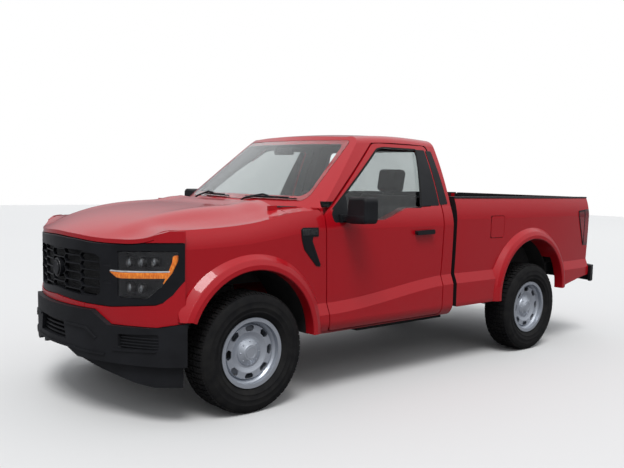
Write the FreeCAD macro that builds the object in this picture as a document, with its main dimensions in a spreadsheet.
# Full-size pickup truck: regular cab, short box, steel wheels.
# X points forward, Y to the truck's left, Z up; the origin is on the ground under the middle of the overall length.
import FreeCAD
import Part
import Sketcher
import math
import os
from FreeCAD import Vector

doc = FreeCAD.newDocument("pickup_truck")
X_AXIS = Vector(1, 0, 0)
Y_AXIS = Vector(0, 1, 0)
Z_AXIS = Vector(0, 0, 1)
ORIGIN = Vector(0, 0, 0)

# Driving dimensions, in millimetres and degrees
SIZES = [
    ("overall_length", 5311),
    ("wheelbase", 3119),
    ("front_overhang", 955),
    ("front_track", 1717),
    ("rear_track", 1735),
    ("tyre_radius", 401),
    ("tyre_width", 262),
    ("tyre_sidewall_bulge", 12),
    ("rim_flange_radius", 234),
    ("rim_width", 206),
    ("rim_wall", 7),
    ("rim_well_radius", 196),
    ("disc_offset", 66),
    ("wheel_slot_count", 8),
    ("wheel_slot_length", 62),
    ("wheel_slot_width", 48),
    ("wheel_slot_circle", 162),
    ("cap_radius", 92),
    ("cap_height", 34),
    ("hub_radius", 84),
    ("spindle_radius", 30),
    ("spindle_length", 70),
    ("running_fit", 0.05),
    ("brake_radius", 168),
    ("brake_thickness", 28),
    ("kingpin_y", 786),
    ("kingpin_radius", 8),
    ("side_half_width", 985),
    ("flare_half_width", 1015),
    ("front_taper", 24),
    ("rear_taper", 48),
    ("sill_height", 448),
    ("sill_tuck", 55),
    ("sill_roll", 110),
    ("crease_front_height", 672),
    ("crease_rear_height", 786),
    ("crease_drop", 80),
    ("crease_depth", 32),
    ("waist_height", 1190),
    ("waist_inset", 20),
    ("belt_height", 1345),
    ("belt_inset", 62),
    ("fender_front_top", 1215),
    ("roof_height", 1915),
    ("roof_rail_height", 1838),
    ("roof_rail_y", 716),
    ("roof_edge_y", 590),
    ("roof_edge_drop", 22),
    ("roof_front_drop", 40),
    ("roof_rear_drop", 14),
    ("screen_base_x", 1325),
    ("screen_base_height", 1372),
    ("screen_top_x", 705),
    ("screen_bow", 190),
    ("screen_base_half", 775),
    ("screen_top_half", 655),
    ("glass_thickness", 5),
    ("glass_seat", 0.3),
    ("cab_wall", 55),
    ("roof_wall", 38),
    ("cab_floor_height", 560),
    ("cab_floor_thickness", 40),
    ("cab_rear_gap", 140),
    ("firewall_setback", 560),
    ("door_setback", 650),
    ("door_length", 1200),
    ("door_lean", 40),
    ("door_skin", 24),
    ("door_depth", 92),
    ("door_lap", 26),
    ("door_top_gap", 10),
    ("shut_gap", 9),
    ("door_swing_room", 6),
    ("hinge_setback", 80),
    ("hinge_inset", 32),
    ("hinge_pin_radius", 4),
    ("hinge_low_height", 560),
    ("hinge_high_height", 1080),
    ("bed_gap", 45),
    ("bed_length", 2165),
    ("bed_rail_height", 1408),
    ("bed_floor_height", 870),
    ("bed_floor_thickness", 30),
    ("bed_wall", 95),
    ("bed_rear_rise", 170),
    ("wheelhouse_half", 643),
    ("front_arch_radius", 478),
    ("front_arch_height", 472),
    ("rear_arch_radius", 490),
    ("rear_arch_height", 546),
    ("flare_band", 112),
    ("flare_lip", 34),
    ("flare_root", 62),
    ("fender_wall", 10),
    ("hood_rear_x", 1372),
    ("hood_thickness", 26),
    ("hood_rear_height", 1376),
    ("hood_kick", 26),
    ("hood_front_height", 1157),
    ("hood_gap", 7),
    ("nose_x", 2600),
    ("nose_half_width", 958),
    ("nose_corner_x", 2200),
    ("nose_bow", 0.82),
    ("grille_top", 1142),
    ("grille_bottom", 731),
    ("grille_depth", 60),
    ("lamp_top", 1092),
    ("lamp_bottom", 795),
    ("lamp_inner_y", 615),
    ("lamp_outer_y", 936),
    ("bumper_top", 700),
    ("bumper_shoulder", 620),
    ("panel_end", 352),
    ("bumper_reach", 47.5),
    ("bumper_lip", 8),
    ("bumper_bottom", 388),
    ("bumper_depth", 90),
    ("dam_bottom", 252),
    ("tailgate_half", 770),
    ("tailgate_thickness", 62),
    ("tailgate_bottom", 815),
    ("tailgate_pivot_rise", 31),
    ("tailgate_gap", 7),
    ("rear_bumper_depth", 150),
    ("rear_bumper_top", 722),
    ("rear_bumper_bottom", 560),
    ("rear_bumper_half", 965),
    ("ball_hole_radius", 16),
    ("ball_plate", 10),
    ("rail_half_spacing", 430),
    ("rail_width", 80),
    ("rail_top", 760),
    ("rail_front_bottom", 540),
    ("rail_mid_bottom", 385),
    ("rail_arch_height", 610),
    ("spring_eye_height", 575),
    ("spring_seat_height", 470),
    ("steering_wheel_radius", 190),
    ("steering_wheel_y", 370),
    ("steering_wheel_height", 1130),
    ("steering_wheel_setback", 1065),
    ("steering_wheel_tilt", 24),
    ("steering_rim_radius", 15),
    ("fuel_door_size", 186),
    ("fuel_door_height", 1160),
    ("fuel_door_ahead", 560),
    ("bead_seat_radius", 216),
    ("bead_clearance", 0.3),
    ("tread_edge", 96),
    ("sidewall_edge", 112),
    ("disc_wall", 8),
    ("upright_width", 92),
    ("upright_height", 330),
    ("upright_thickness", 34),
    ("brake_gap", 6),
    ("arm_rise", 150),
    ("arm_thickness", 34),
    ("tie_rod_radius", 13),
    ("tie_rod_setback", 130),
    ("tie_rod_height", 343),
    ("axle_tube_radius", 44),
    ("diff_radius", 135),
    ("front_diff_radius", 105),
    ("half_shaft_radius", 16),
    ("leaf_width", 66),
    ("leaf_y", 560),
    ("leaf_thickness", 34),
    ("prop_shaft_radius", 42),
    ("engine_length", 640),
    ("engine_width", 560),
    ("engine_height", 500),
    ("engine_bottom", 575),
    ("gearbox_radius", 110),
    ("gearbox_height", 400),
    ("front_diff_y", 160),
    ("exhaust_radius", 32),
    ("muffler_radius", 92),
    ("tank_width", 250),
    ("tank_height", 170),
    ("seat_width", 1440),
    ("seat_cushion_height", 845),
    ("dash_width", 1500),
    ("hanging_pin_radius", 10),
    ("mirror_reach", 1215),
]

# Places worked out from the driving dimensions
PLACES = [
    ("front_axle_x", "overall_length / 2 - front_overhang"),
    ("rear_axle_x", "overall_length / 2 - front_overhang - wheelbase"),
    ("front_wheel_y", "front_track / 2"),
    ("rear_wheel_y", "rear_track / 2"),
    ("door_front_x", "overall_length / 2 - front_overhang - door_setback"),
    ("door_rear_x", "overall_length / 2 - front_overhang - door_setback - door_length"),
    ("cab_rear_x", "overall_length / 2 - front_overhang - door_setback - door_length - cab_rear_gap"),
    ("firewall_x", "overall_length / 2 - front_overhang - firewall_setback"),
]

sheet = doc.addObject("Spreadsheet::Sheet", "sizes")
for row, (alias, number) in enumerate(SIZES, 1):
    sheet.set("A%d" % row, alias.replace("_", " "))
    sheet.set("B%d" % row, str(number))
    sheet.setAlias("B%d" % row, alias)
doc.recompute()

SIZE_NAMES = sorted([alias for alias, number in SIZES], key=len, reverse=True)


def linked(formula):
    """The formula with each size name pointing at its cell."""
    words = formula.replace("(", " ( ").replace(")", " ) ").split()
    return " ".join("sizes." + word if word in SIZE_NAMES else word for word in words)


places = doc.addObject("Spreadsheet::Sheet", "places")
for row, (alias, formula) in enumerate(PLACES, 1):
    places.set("A%d" % row, alias.replace("_", " "))
    places.set("B%d" % row, "=" + linked(formula))
    places.setAlias("B%d" % row, alias)
doc.recompute()
PLACE_NAMES = [alias for alias, formula in PLACES]


def v(name):
    """The value of a size or a place."""
    return float(places.get(name) if name in PLACE_NAMES else sheet.get(name))


def bound(formula):
    """An expression for setExpression, with sizes and places linked to their cells."""
    words = formula.replace("(", " ( ").replace(")", " ) ").split()
    return " ".join("places." + word if word in PLACE_NAMES else "sizes." + word if word in SIZE_NAMES else word
                    for word in words)


PIECES = []


def keep(label, made):
    """Names a finished sub-part, which is then exported under that name."""
    made.Label = label
    PIECES.append(made)
    return made


def piece(label, shape):
    """A free-form sub-part whose shape is worked out from the sheet."""
    made = doc.addObject("Part::Feature", label)
    made.Shape = shape
    return keep(label, made)


# Shape helpers
def rounded(points, radii):
    """Points of a closed outline with each corner replaced by its arc: a list of edges in the plane of a and b."""
    edges = []
    count = len(points)
    starts = []
    ends = []
    mids = []
    for i in range(count):
        before = Vector(*points[i - 1], 0)
        here = Vector(*points[i], 0)
        after = Vector(*points[(i + 1) % count], 0)
        radius = radii[i] if isinstance(radii, (list, tuple)) else radii
        u = (before - here).normalize()
        w = (after - here).normalize()
        half = math.acos(max(-1.0, min(1.0, u.dot(w)))) / 2
        if radius <= 0 or half > math.radians(88):
            starts.append(here)
            ends.append(here)
            mids.append(None)
            continue
        reach = min(radius / math.tan(half), 0.48 * (before - here).Length, 0.48 * (after - here).Length)
        radius = reach * math.tan(half)
        centre = here + (u + w).normalize() * (radius / math.sin(half))
        starts.append(here + u * reach)
        ends.append(here + w * reach)
        mids.append(centre + (here - centre).normalize() * radius)
    for i in range(count):
        if mids[i] is not None:
            edges.append(Part.Arc(starts[i], mids[i], ends[i]).toShape())
        following = starts[(i + 1) % count]
        if (following - ends[i]).Length > 1e-6:
            edges.append(Part.LineSegment(ends[i], following).toShape())
    return Part.Wire(edges)


def outline_prism(points, radii, axis, low, high):
    """A prism through low..high along an axis, whose rounded outline is given in the other two axes."""
    face = Part.Face(rounded(points, radii))
    if axis == "y":
        face.rotate(ORIGIN, X_AXIS, 90)
        face.translate(Vector(0, low, 0))
        return face.extrude(Vector(0, high - low, 0))
    if axis == "x":
        face.rotate(ORIGIN, Vector(1, 1, 1), 120)
        face.translate(Vector(low, 0, 0))
        return face.extrude(Vector(high - low, 0, 0))
    face.translate(Vector(0, 0, low))
    return face.extrude(Vector(0, 0, high - low))


def block(x0, x1, y0, y1, z0, z1):
    """A box between corners."""
    return Part.makeBox(x1 - x0, y1 - y0, z1 - z0, Vector(x0, y0, z0))


def rod(start, end, radius):
    """A round bar between two points."""
    along = end - start
    return Part.makeCylinder(radius, along.Length, start, along)


def mirrored(shape):
    """The same shape on the truck's right."""
    return shape.mirror(ORIGIN, Y_AXIS)


def fused(shapes):
    """One solid from shapes that meet."""
    whole = shapes[0].multiFuse(shapes[1:]) if len(shapes) > 1 else shapes[0]
    return whole.removeSplitter()


def biggest(shape):
    """The largest solid of a shape, without the crumbs of a cut."""
    return max(shape.Solids, key=lambda one: one.Volume)


def smooth(share):
    """Eases a share from 0 to 1."""
    share = max(0.0, min(1.0, share))
    return share * share * (3 - 2 * share)


# The body side: half width and heights along the truck
FRONT_AXLE = v("front_axle_x")
REAR_AXLE = v("rear_axle_x")
DOOR_FRONT = v("door_front_x")
DOOR_REAR = v("door_rear_x")
CAB_REAR = v("cab_rear_x")
FIREWALL = v("firewall_x")
BED_FRONT = CAB_REAR - v("bed_gap")
BED_REAR = BED_FRONT - v("bed_length")
NOSE = v("nose_x")
FENDER_FRONT = v("nose_corner_x") + 40
HALF = v("side_half_width")
TRUCK_REAR = -v("overall_length") / 2
TRUCK_FRONT = v("overall_length") / 2


def plan_inset(x):
    """How far the body side stands in from its widest line at a station."""
    front = max(0.0, x - FRONT_AXLE - 60) / (FENDER_FRONT - FRONT_AXLE - 60)
    rear = max(0.0, REAR_AXLE - 100 - x) / (REAR_AXLE - 100 - BED_REAR)
    return v("front_taper") * front ** 2.2 + v("rear_taper") * rear ** 1.8


def crease_height(x):
    """The upper edge of the lower crease, which climbs from the fender to the box."""
    climb = smooth((DOOR_FRONT - x) / (DOOR_FRONT - CAB_REAR))
    return v("crease_front_height") + (v("crease_rear_height") - v("crease_front_height")) * climb


def fender_top(x):
    """Height of the seam between fender and hood."""
    share = min(1.0, max(0.0, (x - DOOR_FRONT) / (FENDER_FRONT - DOOR_FRONT)))
    beyond = max(0.0, x - FENDER_FRONT) / 160
    line = v("fender_front_top") + (v("belt_height") - 8 - v("fender_front_top")) * (1 - share) ** 1.8
    line += v("hood_kick") * math.exp(-((x - v("hood_rear_x")) / 200) ** 2)
    return max(line - 66 * beyond ** 2, v("grille_top") + 8)


def lower_points(x, top):
    """Outer points of the body side from sill to belt, as (y, z) at a station."""
    wide = HALF - plan_inset(x)
    crease = crease_height(x)
    sill = v("sill_height")
    roll = v("sill_roll")
    waist = v("waist_height") + (top - v("belt_height")) * 0.7
    hollow = wide - v("crease_depth")
    return [
        (wide - v("sill_tuck"), sill),
        (wide - v("sill_tuck") * 0.22, sill + roll * 0.42),
        (wide, sill + roll),
        (wide, crease - v("crease_drop")),
        (hollow, crease),
        (wide - v("waist_inset") - 4, (crease + waist) / 2),
        (wide - v("waist_inset"), waist),
        (wide - v("waist_inset") - (v("belt_inset") - v("waist_inset")) * 0.34, waist + (top - waist) * 0.52),
        (wide - v("belt_inset"), top),
    ]


def side_edges(points, x, shift):
    """Edges through the outer points of the body side: arc, line, line, arc, arc."""
    at = [Vector(x, y - shift, z) for y, z in points]
    return [
        Part.Arc(at[0], at[1], at[2]).toShape(),
        Part.LineSegment(at[2], at[3]).toShape(),
        Part.LineSegment(at[3], at[4]).toShape(),
        Part.Arc(at[4], at[5], at[6]).toShape(),
        Part.Arc(at[6], at[7], at[8]).toShape(),
    ]


def side_slab(stations, top_of, outer, inner_y):
    """The left body side from its outer face in to an upright plane, lofted through its stations."""
    wires = []
    for x in stations:
        points = lower_points(x, top_of(x))
        outside = side_edges(points, x, outer)
        y_top, z_top = points[-1]
        y_low, z_low = points[0]
        top = Part.LineSegment(Vector(x, y_top - outer, z_top), Vector(x, inner_y, z_top)).toShape()
        inside = Part.LineSegment(Vector(x, inner_y, z_top), Vector(x, inner_y, z_low)).toShape()
        low = Part.LineSegment(Vector(x, inner_y, z_low), Vector(x, y_low - outer, z_low)).toShape()
        wires.append(Part.Wire(outside + [top, inside, low]))
    return Part.makeLoft(wires, True, False)


def skin_slab(stations, top_of, outer, inner):
    """Like side_slab, but with an inner face that follows the outer one."""
    wires = []
    for x in stations:
        points = lower_points(x, top_of(x))
        outside = side_edges(points, x, outer)
        inside = side_edges(points, x, inner)
        y_top, z_top = points[-1]
        y_low, z_low = points[0]
        top = Part.LineSegment(Vector(x, y_top - outer, z_top), Vector(x, y_top - inner, z_top)).toShape()
        low = Part.LineSegment(Vector(x, y_low - inner, z_low), Vector(x, y_low - outer, z_low)).toShape()
        wires.append(Part.Wire(outside + [top] + inside[::-1] + [low]))
    return Part.makeLoft(wires, True, False)


def roof_drop(x):
    """How far the roof falls from its highest line at a station."""
    middle = (v("screen_top_x") + CAB_REAR) / 2 - 80
    if x > middle:
        return v("roof_front_drop") * ((x - middle) / (v("screen_top_x") - middle)) ** 2
    return v("roof_rear_drop") * ((x - middle) / (CAB_REAR - middle)) ** 2


def house_points(x):
    """Outer points of the greenhouse side from belt to roof rail, as (y, z)."""
    wide = HALF - plan_inset(x) - v("belt_inset")
    rail = (v("roof_rail_y"), v("roof_rail_height") - roof_drop(x) * 0.8)
    belt = (wide, v("belt_height"))
    middle = ((wide + rail[0]) / 2 + 14, (belt[1] + rail[1]) / 2)
    return [belt, middle, rail]


def door_slab(stations, outer, inner):
    """The whole cab side between two depths, from sill to roof rail."""
    wires = []
    for x in stations:
        points = lower_points(x, v("belt_height"))
        house = house_points(x)
        edges = []
        for shift in (outer, inner):
            rows = side_edges(points, x, shift)
            at = [Vector(x, y - shift, z) for y, z in house]
            rows.append(Part.Arc(at[0], at[1], at[2]).toShape())
            edges.append(rows)
        y_top, z_top = house[-1]
        y_low, z_low = points[0]
        top = Part.LineSegment(Vector(x, y_top - outer, z_top), Vector(x, y_top - inner, z_top)).toShape()
        low = Part.LineSegment(Vector(x, y_low - inner, z_low), Vector(x, y_low - outer, z_low)).toShape()
        wires.append(Part.Wire(edges[0] + [top] + edges[1][::-1] + [low]))
    return Part.makeLoft(wires, True, False)


def cab_section(x, shift, roof_shift):
    """A closed section of the whole cab, moved in by its wall."""
    points = lower_points(x, v("belt_height"))
    house = house_points(x)
    drop = roof_drop(x)
    left = side_edges(points, x, shift)
    at = [Vector(x, y - shift, z) for y, z in house]
    left.append(Part.Arc(at[0], at[1], at[2]).toShape())
    edge = Vector(x, v("roof_edge_y") - shift * 0.5, v("roof_height") - v("roof_edge_drop") - drop - roof_shift)
    bulge = Vector(x, (at[2].y + edge.y) / 2 + 18, (at[2].z + edge.z) / 2 + 14)
    left.append(Part.Arc(at[2], bulge, edge).toShape())
    top = Vector(x, 0, v("roof_height") - drop - roof_shift)
    right_edge = Vector(x, -edge.y, edge.z)
    roof = Part.Arc(edge, top, right_edge).toShape()
    right = [mirrored(e) for e in left][::-1]
    base_left = Vector(x, points[0][0] - shift, points[0][1])
    base_right = Vector(x, -points[0][0] + shift, points[0][1])
    base = Part.LineSegment(base_right, base_left).toShape()
    return Part.Wire(left + [roof] + right + [base])


def cab_loft(stations, shift, roof_shift):
    """The cab's whole outer or inner form."""
    return Part.makeLoft([cab_section(x, shift, roof_shift) for x in stations], True, False)


CAB_STATIONS = [CAB_REAR, CAB_REAR + 320, (CAB_REAR + DOOR_FRONT) / 2, DOOR_FRONT - 200, FIREWALL + 60, FRONT_AXLE - 360]
SIDE_STATIONS = [CAB_REAR - 1, CAB_REAR + 320, (CAB_REAR + DOOR_FRONT) / 2, DOOR_FRONT - 200, DOOR_FRONT + 60]
BED_STATIONS = [BED_FRONT, (BED_FRONT + REAR_AXLE) / 2, REAR_AXLE, REAR_AXLE - 380, BED_REAR + 330, BED_REAR]
FENDER_STATIONS = [DOOR_FRONT - 60, FRONT_AXLE - 350, FRONT_AXLE - 170, FRONT_AXLE + 60, FRONT_AXLE + 330,
                   FENDER_FRONT - 80, FENDER_FRONT]


def screen_sheet(ahead):
    """The curved windscreen surface, moved ahead along X, as a face running past its edges."""
    base_z = v("screen_base_height")
    slope = (v("screen_base_x") - v("screen_top_x")) / (v("roof_height") - 55 - base_z)
    low_z = base_z - 200
    row = []
    for k in range(-4, 5):
        y = k / 4 * 1000
        bow = v("screen_bow") * (y / v("screen_base_half")) ** 2
        row.append(Vector(v("screen_base_x") + ahead + slope * (base_z - low_z) - bow, y, low_z))
    curve = Part.BSplineCurve()
    curve.interpolate(row)
    return curve.toShape().extrude(Vector(-slope * 1000, 0, 1000))


def screen_slab(ahead, behind):
    """The space between two windscreen surfaces."""
    return screen_sheet(-behind).extrude(Vector(behind + ahead, 0, 0))


def screen_outline(margin, low, high):
    """The windscreen's outline seen from ahead, grown by a margin."""
    base = v("screen_base_half") + margin
    top = v("screen_top_half") + margin
    z0 = v("screen_base_height") - margin + 8
    z1 = v("roof_height") - 72 + margin
    return outline_prism([(-base, z0), (base, z0), (top, z1), (-top, z1)], 45, "x", low, high)


# Door and window outlines seen from the side
def door_outline(grow, upper_grow):
    """The door's edge: sill, leaning front edge, screen pillar, roof rail and rear edge."""
    low = v("sill_height") + 22 - grow
    front = DOOR_FRONT + grow
    rear = DOOR_REAR - grow
    top = v("roof_rail_height") - v("door_top_gap") + upper_grow
    return [
        (rear, low), (front, low), (front + v("door_lean"), v("belt_height") - 60),
        (front - 60 + upper_grow, v("belt_height") + 14 + upper_grow), (432 + upper_grow, top - 6),
        (350 + upper_grow, top), (rear - 28, top),
    ]


DOOR_RADII = [30, 40, 60, 60, 60, 60, 40]


def leaned(outline):
    """The outline with its upper rear corner moved back, where the door swings out behind its line."""
    x, z = outline[-1]
    return outline[:-1] + [(x - v("door_swing_room"), z)]


def window_outline(grow):
    """The side window: a dropped front corner, a step up and the pillar lines."""
    belt = v("belt_height")
    top = v("roof_rail_height") - 48
    return [
        (DOOR_REAR + 92 - grow, belt - 2 - grow), (DOOR_REAR + 392, belt - 14 - grow),
        (DOOR_REAR + 640, belt - 96 - grow), (DOOR_FRONT - 40 + grow, belt - 108 - grow),
        (DOOR_FRONT - 22 + grow, belt - 40), (398 + grow, top - 14 + grow), (330, top + grow),
        (DOOR_REAR + 74 - grow, top + grow),
    ]


WINDOW_RADII = [18, 60, 60, 30, 40, 50, 50, 25]
HINGE_X = DOOR_FRONT - v("hinge_setback")
HOOD_PIVOT = Vector(v("hood_rear_x") - 40, 0, v("hood_rear_height") - 46)
HINGE_Y = HALF - v("hinge_inset")
HINGE_HEIGHTS = (v("hinge_low_height"), v("hinge_high_height"))


# Doors: an outer skin over a deeper inner box that fits the cab's opening
def make_door():
    skin = door_slab(SIDE_STATIONS, 0, v("door_skin"))
    outer = skin.common(outline_prism(door_outline(0, 0), DOOR_RADII, "y", 0, 1200))
    lap = v("door_lap")
    inner = door_slab(SIDE_STATIONS, v("door_skin") - 2, v("door_depth"))
    box_outline = door_outline(-lap, -lap)
    box_outline[1] = (box_outline[1][0] - 84, box_outline[1][1])
    box_outline[2] = (box_outline[2][0] - 120, box_outline[2][1])
    box_outline[3] = (box_outline[3][0] - 60, box_outline[3][1])
    inner = inner.common(outline_prism(box_outline, DOOR_RADII, "y", 0, 1200))
    thin = block(DOOR_REAR - 200, DOOR_FRONT + 200, 0, v("side_half_width"), v("belt_height") + 30, 2000)
    thin = thin.cut(door_slab(SIDE_STATIONS, 0, 52))
    inner = inner.cut(thin)
    door = fused([outer, inner])
    door = door.cut(outline_prism(window_outline(0), WINDOW_RADII, "y", 0, 1200))
    return door


def hinge_clearance():
    """Room inside the door for the pillar's hinge brackets."""
    return [block(HINGE_X - 32, HINGE_X + 96, HINGE_Y - 140, HINGE_Y + 7.5, z - 24, z + 24) for z in HINGE_HEIGHTS]


def hinge_eyes():
    """The door's own half of each hinge."""
    bore = v("hinge_pin_radius") + v("running_fit")
    eyes = [block(HINGE_X - 60, HINGE_X + 6.5, HINGE_Y - 6.5, HINGE_Y + 6.5, z - 12, z + 12) for z in HINGE_HEIGHTS]
    return [eye.cut(rod(Vector(HINGE_X, HINGE_Y, 0), Vector(HINGE_X, HINGE_Y, 2000), bore)) for eye in eyes]


def hinge_brackets():
    """The body's half of each hinge: two lugs and the pin."""
    made = []
    for z in HINGE_HEIGHTS:
        lugs = [block(HINGE_X - 6, HINGE_X + 6, HINGE_Y - 150, HINGE_Y, z + low, z + low + 7) for low in (13, -20)]
        ends = [rod(Vector(HINGE_X, HINGE_Y, z + low), Vector(HINGE_X, HINGE_Y, z + low + 7), 6) for low in (13, -20)]
        made += lugs + ends + [rod(Vector(HINGE_X, HINGE_Y, z - 20), Vector(HINGE_X, HINGE_Y, z + 20), v("hinge_pin_radius"))]
    return made


door = make_door()
door = door.cut(hinge_clearance()[0]).cut(hinge_clearance()[1])
door = fused([door] + hinge_eyes())
glass = door_slab(SIDE_STATIONS, 20, 20 + v("glass_thickness")).common(
    outline_prism(window_outline(0), WINDOW_RADII, "y", 0, 1200))

piece("door_left", door)
piece("door_right", mirrored(door))
piece("door_glass_left", glass)
piece("door_glass_right", mirrored(glass))


def fender_outline(grow):
    """The fender's edge from the side, with its rear edge moved back."""
    rear = DOOR_FRONT + v("shut_gap") - grow
    low = v("sill_height") + 22 - grow
    top = v("belt_height") + 40
    front = FENDER_FRONT
    return [
        (rear, low), (FRONT_AXLE, low), (front - 60, v("bumper_shoulder") + 44), (front, v("bumper_shoulder") + 44), (front, top),
        (rear + v("door_lean") + 80, top), (rear + v("door_lean"), v("belt_height") - 60),
    ]


# Cab: one hollow shell of floor, pillars, roof and back wall
def make_cab():
    outer = cab_loft(CAB_STATIONS, 0, 0)
    ahead = screen_sheet(0).extrude(Vector(2500, 0, 0))
    above = block(-3000, 3000, -1200, 1200, v("screen_base_height") - 60, 2300)
    outer = outer.cut(ahead.common(above))
    nose_cut = block(FIREWALL, 3000, -1200, 1200, 0, v("screen_base_height") - 59)
    cowl_keep = block(FIREWALL - 1, v("screen_base_x") - 60, -1200, 1200, v("screen_base_height") - 120, 2300)
    outer = outer.cut(nose_cut.cut(cowl_keep))
    stations = [CAB_REAR - 10] + CAB_STATIONS[1:]
    inner = cab_loft(stations, v("cab_wall"), v("roof_wall"))
    inner = inner.cut(screen_sheet(-34).extrude(Vector(2500, 0, 0)))
    room = block(CAB_REAR + v("cab_wall"), FIREWALL - 40, -1100, 1100, v("cab_floor_height"), 2300)
    inner = inner.common(room)
    shell = outer.cut(inner)
    opening = outline_prism(leaned(door_outline(v("shut_gap"), v("shut_gap"))), DOOR_RADII, "y", 0, 1200)
    lap = v("door_lap") - v("shut_gap")
    box_outline = leaned(door_outline(-lap, -lap))
    skin_room = door_slab(SIDE_STATIONS, -40, v("door_skin") + v("shut_gap")).common(opening)
    doorway = outline_prism(box_outline, DOOR_RADII, "y", 300, 1200)
    for cutter in (skin_room, doorway):
        shell = shell.cut(cutter).cut(mirrored(cutter))
    post = block(HINGE_X - 75, FIREWALL, 760, 935, v("sill_height") + 2, v("belt_height") - 4)
    reach = v("hinge_setback") + v("door_lean") + 12
    swing = Part.makeCylinder(reach, v("belt_height") + 20 - v("sill_height"), Vector(HINGE_X, HINGE_Y, v("sill_height") + 20))
    swing = swing.fuse(block(HINGE_X - 90, HINGE_X + reach, HINGE_Y, 1200, v("sill_height") + 20, v("belt_height") + 40))
    hood_lug = block(FIREWALL - 2, HOOD_PIVOT.x + 13, 780, 788, HOOD_PIVOT.z - 25, HOOD_PIVOT.z + 12)
    hood_pin = rod(Vector(HOOD_PIVOT.x, 757, HOOD_PIVOT.z), Vector(HOOD_PIVOT.x, 784, HOOD_PIVOT.z), 6)
    hinges = hinge_brackets() + [hood_lug, hood_pin]
    shell = fused([shell, post, mirrored(post)])
    shell = shell.cut(swing).cut(mirrored(swing))
    shell = fused([shell] + hinges + [mirrored(made) for made in hinges])
    under = block(-2000, 3000, -(HALF - 150), HALF - 150, 0, v("cab_floor_height") - v("cab_floor_thickness"))
    shell = shell.cut(under)
    wing_room = side_slab(FENDER_STATIONS[:4], fender_top, -20, 700).cut(
        side_slab(FENDER_STATIONS[:4], fender_top, v("fender_wall"), 600))
    wing_room = wing_room.common(outline_prism(fender_outline(3), 0, "y", 0, 1200))
    flare_room = block(FRONT_AXLE - v("front_arch_radius") - v("flare_band"), FIREWALL + 1, HALF - v("flare_root"), 1200,
                       0, 660)
    for cutter in (wing_room, flare_room):
        shell = shell.cut(cutter).cut(mirrored(cutter))
    screen_recess = screen_slab(60, v("glass_thickness") + v("glass_seat")).common(screen_outline(0, 0, 3000))
    shell = shell.cut(screen_recess)
    shell = shell.cut(screen_slab(60, 300).common(screen_outline(-34, 0, 3000)))
    shell = shell.cut(rear_window_prism(-1, -200, 14)).cut(rear_window_prism(-24, -200, 300))
    return shell


def rear_window_prism(grow, low, high):
    """The back window's prism, from low to high ahead of the back wall's face."""
    z0 = v("belt_height") + 30 - grow
    z1 = v("roof_height") - 105 + grow
    base = 690 + grow
    top = 590 + grow
    return outline_prism([(-base, z0), (base, z0), (top, z1), (-top, z1)], 50, "x", CAB_REAR + low, CAB_REAR + high)


cab = make_cab()
piece("cab", cab)
screen = screen_slab(0, v("glass_thickness")).common(screen_outline(-3, 0, 3000))
rear_glass = rear_window_prism(-4, 14 - v("glass_seat") - v("glass_thickness"), 14 - v("glass_seat"))
piece("cab_glass", Part.makeCompound([screen, rear_glass]))


# Nose: grille surround, lamps and painted panel all follow one bowed line in plan
def nose_fall(share):
    """How far the nose line falls back, from 0 to 1, by its share of the half width."""
    return v("nose_bow") * share ** 2 + (1 - v("nose_bow")) * share ** 16


def nose_front(y):
    """How far ahead the nose line lies at a distance from the middle."""
    share = min(1.0, abs(y) / v("nose_half_width"))
    return NOSE - (NOSE - v("nose_corner_x")) * nose_fall(share)


def nose_curve(ahead, spread):
    """The nose line in plan, moved ahead and outward."""
    half = v("nose_half_width") + spread
    front = NOSE + ahead
    drop = front - v("nose_corner_x")
    shares = (0, 0.22, 0.42, 0.6, 0.74, 0.84, 0.91, 0.96, 1.0)
    left = [Vector(front - drop * nose_fall(share), half * share, 0) for share in shares]
    right = [Vector(p.x, -p.y, p.z) for p in left[1:]][::-1]
    curve = Part.BSplineCurve()
    curve.interpolate(right + left)
    return curve.toShape()


def from_ahead(points, radius=0):
    """A prism along the truck from half of its outline, which is mirrored across the middle."""
    other = [(-y, z) for y, z in points if y > 0][::-1]
    return outline_prism(points + other, radius, "x", 1500, 3200)


def nose_band(ahead, spread, depth, z0, z1):
    """A wall along the nose line, between two heights."""
    outer = nose_curve(ahead, spread)
    inner = nose_curve(ahead - depth, spread - depth * 0.55)
    outer_ends = (outer.valueAt(outer.FirstParameter), outer.valueAt(outer.LastParameter))
    inner_ends = (inner.valueAt(inner.FirstParameter), inner.valueAt(inner.LastParameter))
    sides = [Part.LineSegment(outer_ends[k], inner_ends[k]).toShape() for k in (0, 1)]
    face = Part.Face(Part.Wire(Part.__sortEdges__([outer, sides[1], inner, sides[0]])))
    face.translate(Vector(0, 0, z0))
    return face.extrude(Vector(0, 0, z1 - z0))


# Hood: a crowned panel with two raised edges, falling to the nose
HOOD_MARKS = [0.0, 0.2, 0.38, 0.5, 0.6, 0.7, 0.8, 0.9, 1.0]


def hood_crown(x, y):
    """Height of the hood between its edges, which falls with the distance to the nose line."""
    share = (x - v("hood_rear_x")) / (nose_front(y) - v("hood_rear_x"))
    ahead = max(0.0, min(1.05, share))
    lip = surround_top(y) + 5 + v("hood_thickness") - v("hood_front_height")
    flat = v("hood_rear_height") - v("hood_kick") * smooth((x - v("hood_rear_x")) / 260)
    drop = v("hood_rear_height") - v("hood_kick") - v("hood_front_height") - 33
    return flat - 33 * share - drop * ahead ** 3.5 + lip * ahead ** 8


def hood_half(x):
    """Half width of the hood at its seam with the fender."""
    narrow = 50 * smooth((x - FENDER_FRONT + 165) / 330)
    edge = HALF - v("belt_inset") - v("fender_wall") - v("hood_gap")
    return edge - plan_inset(min(x, FENDER_FRONT)) - narrow


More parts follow.
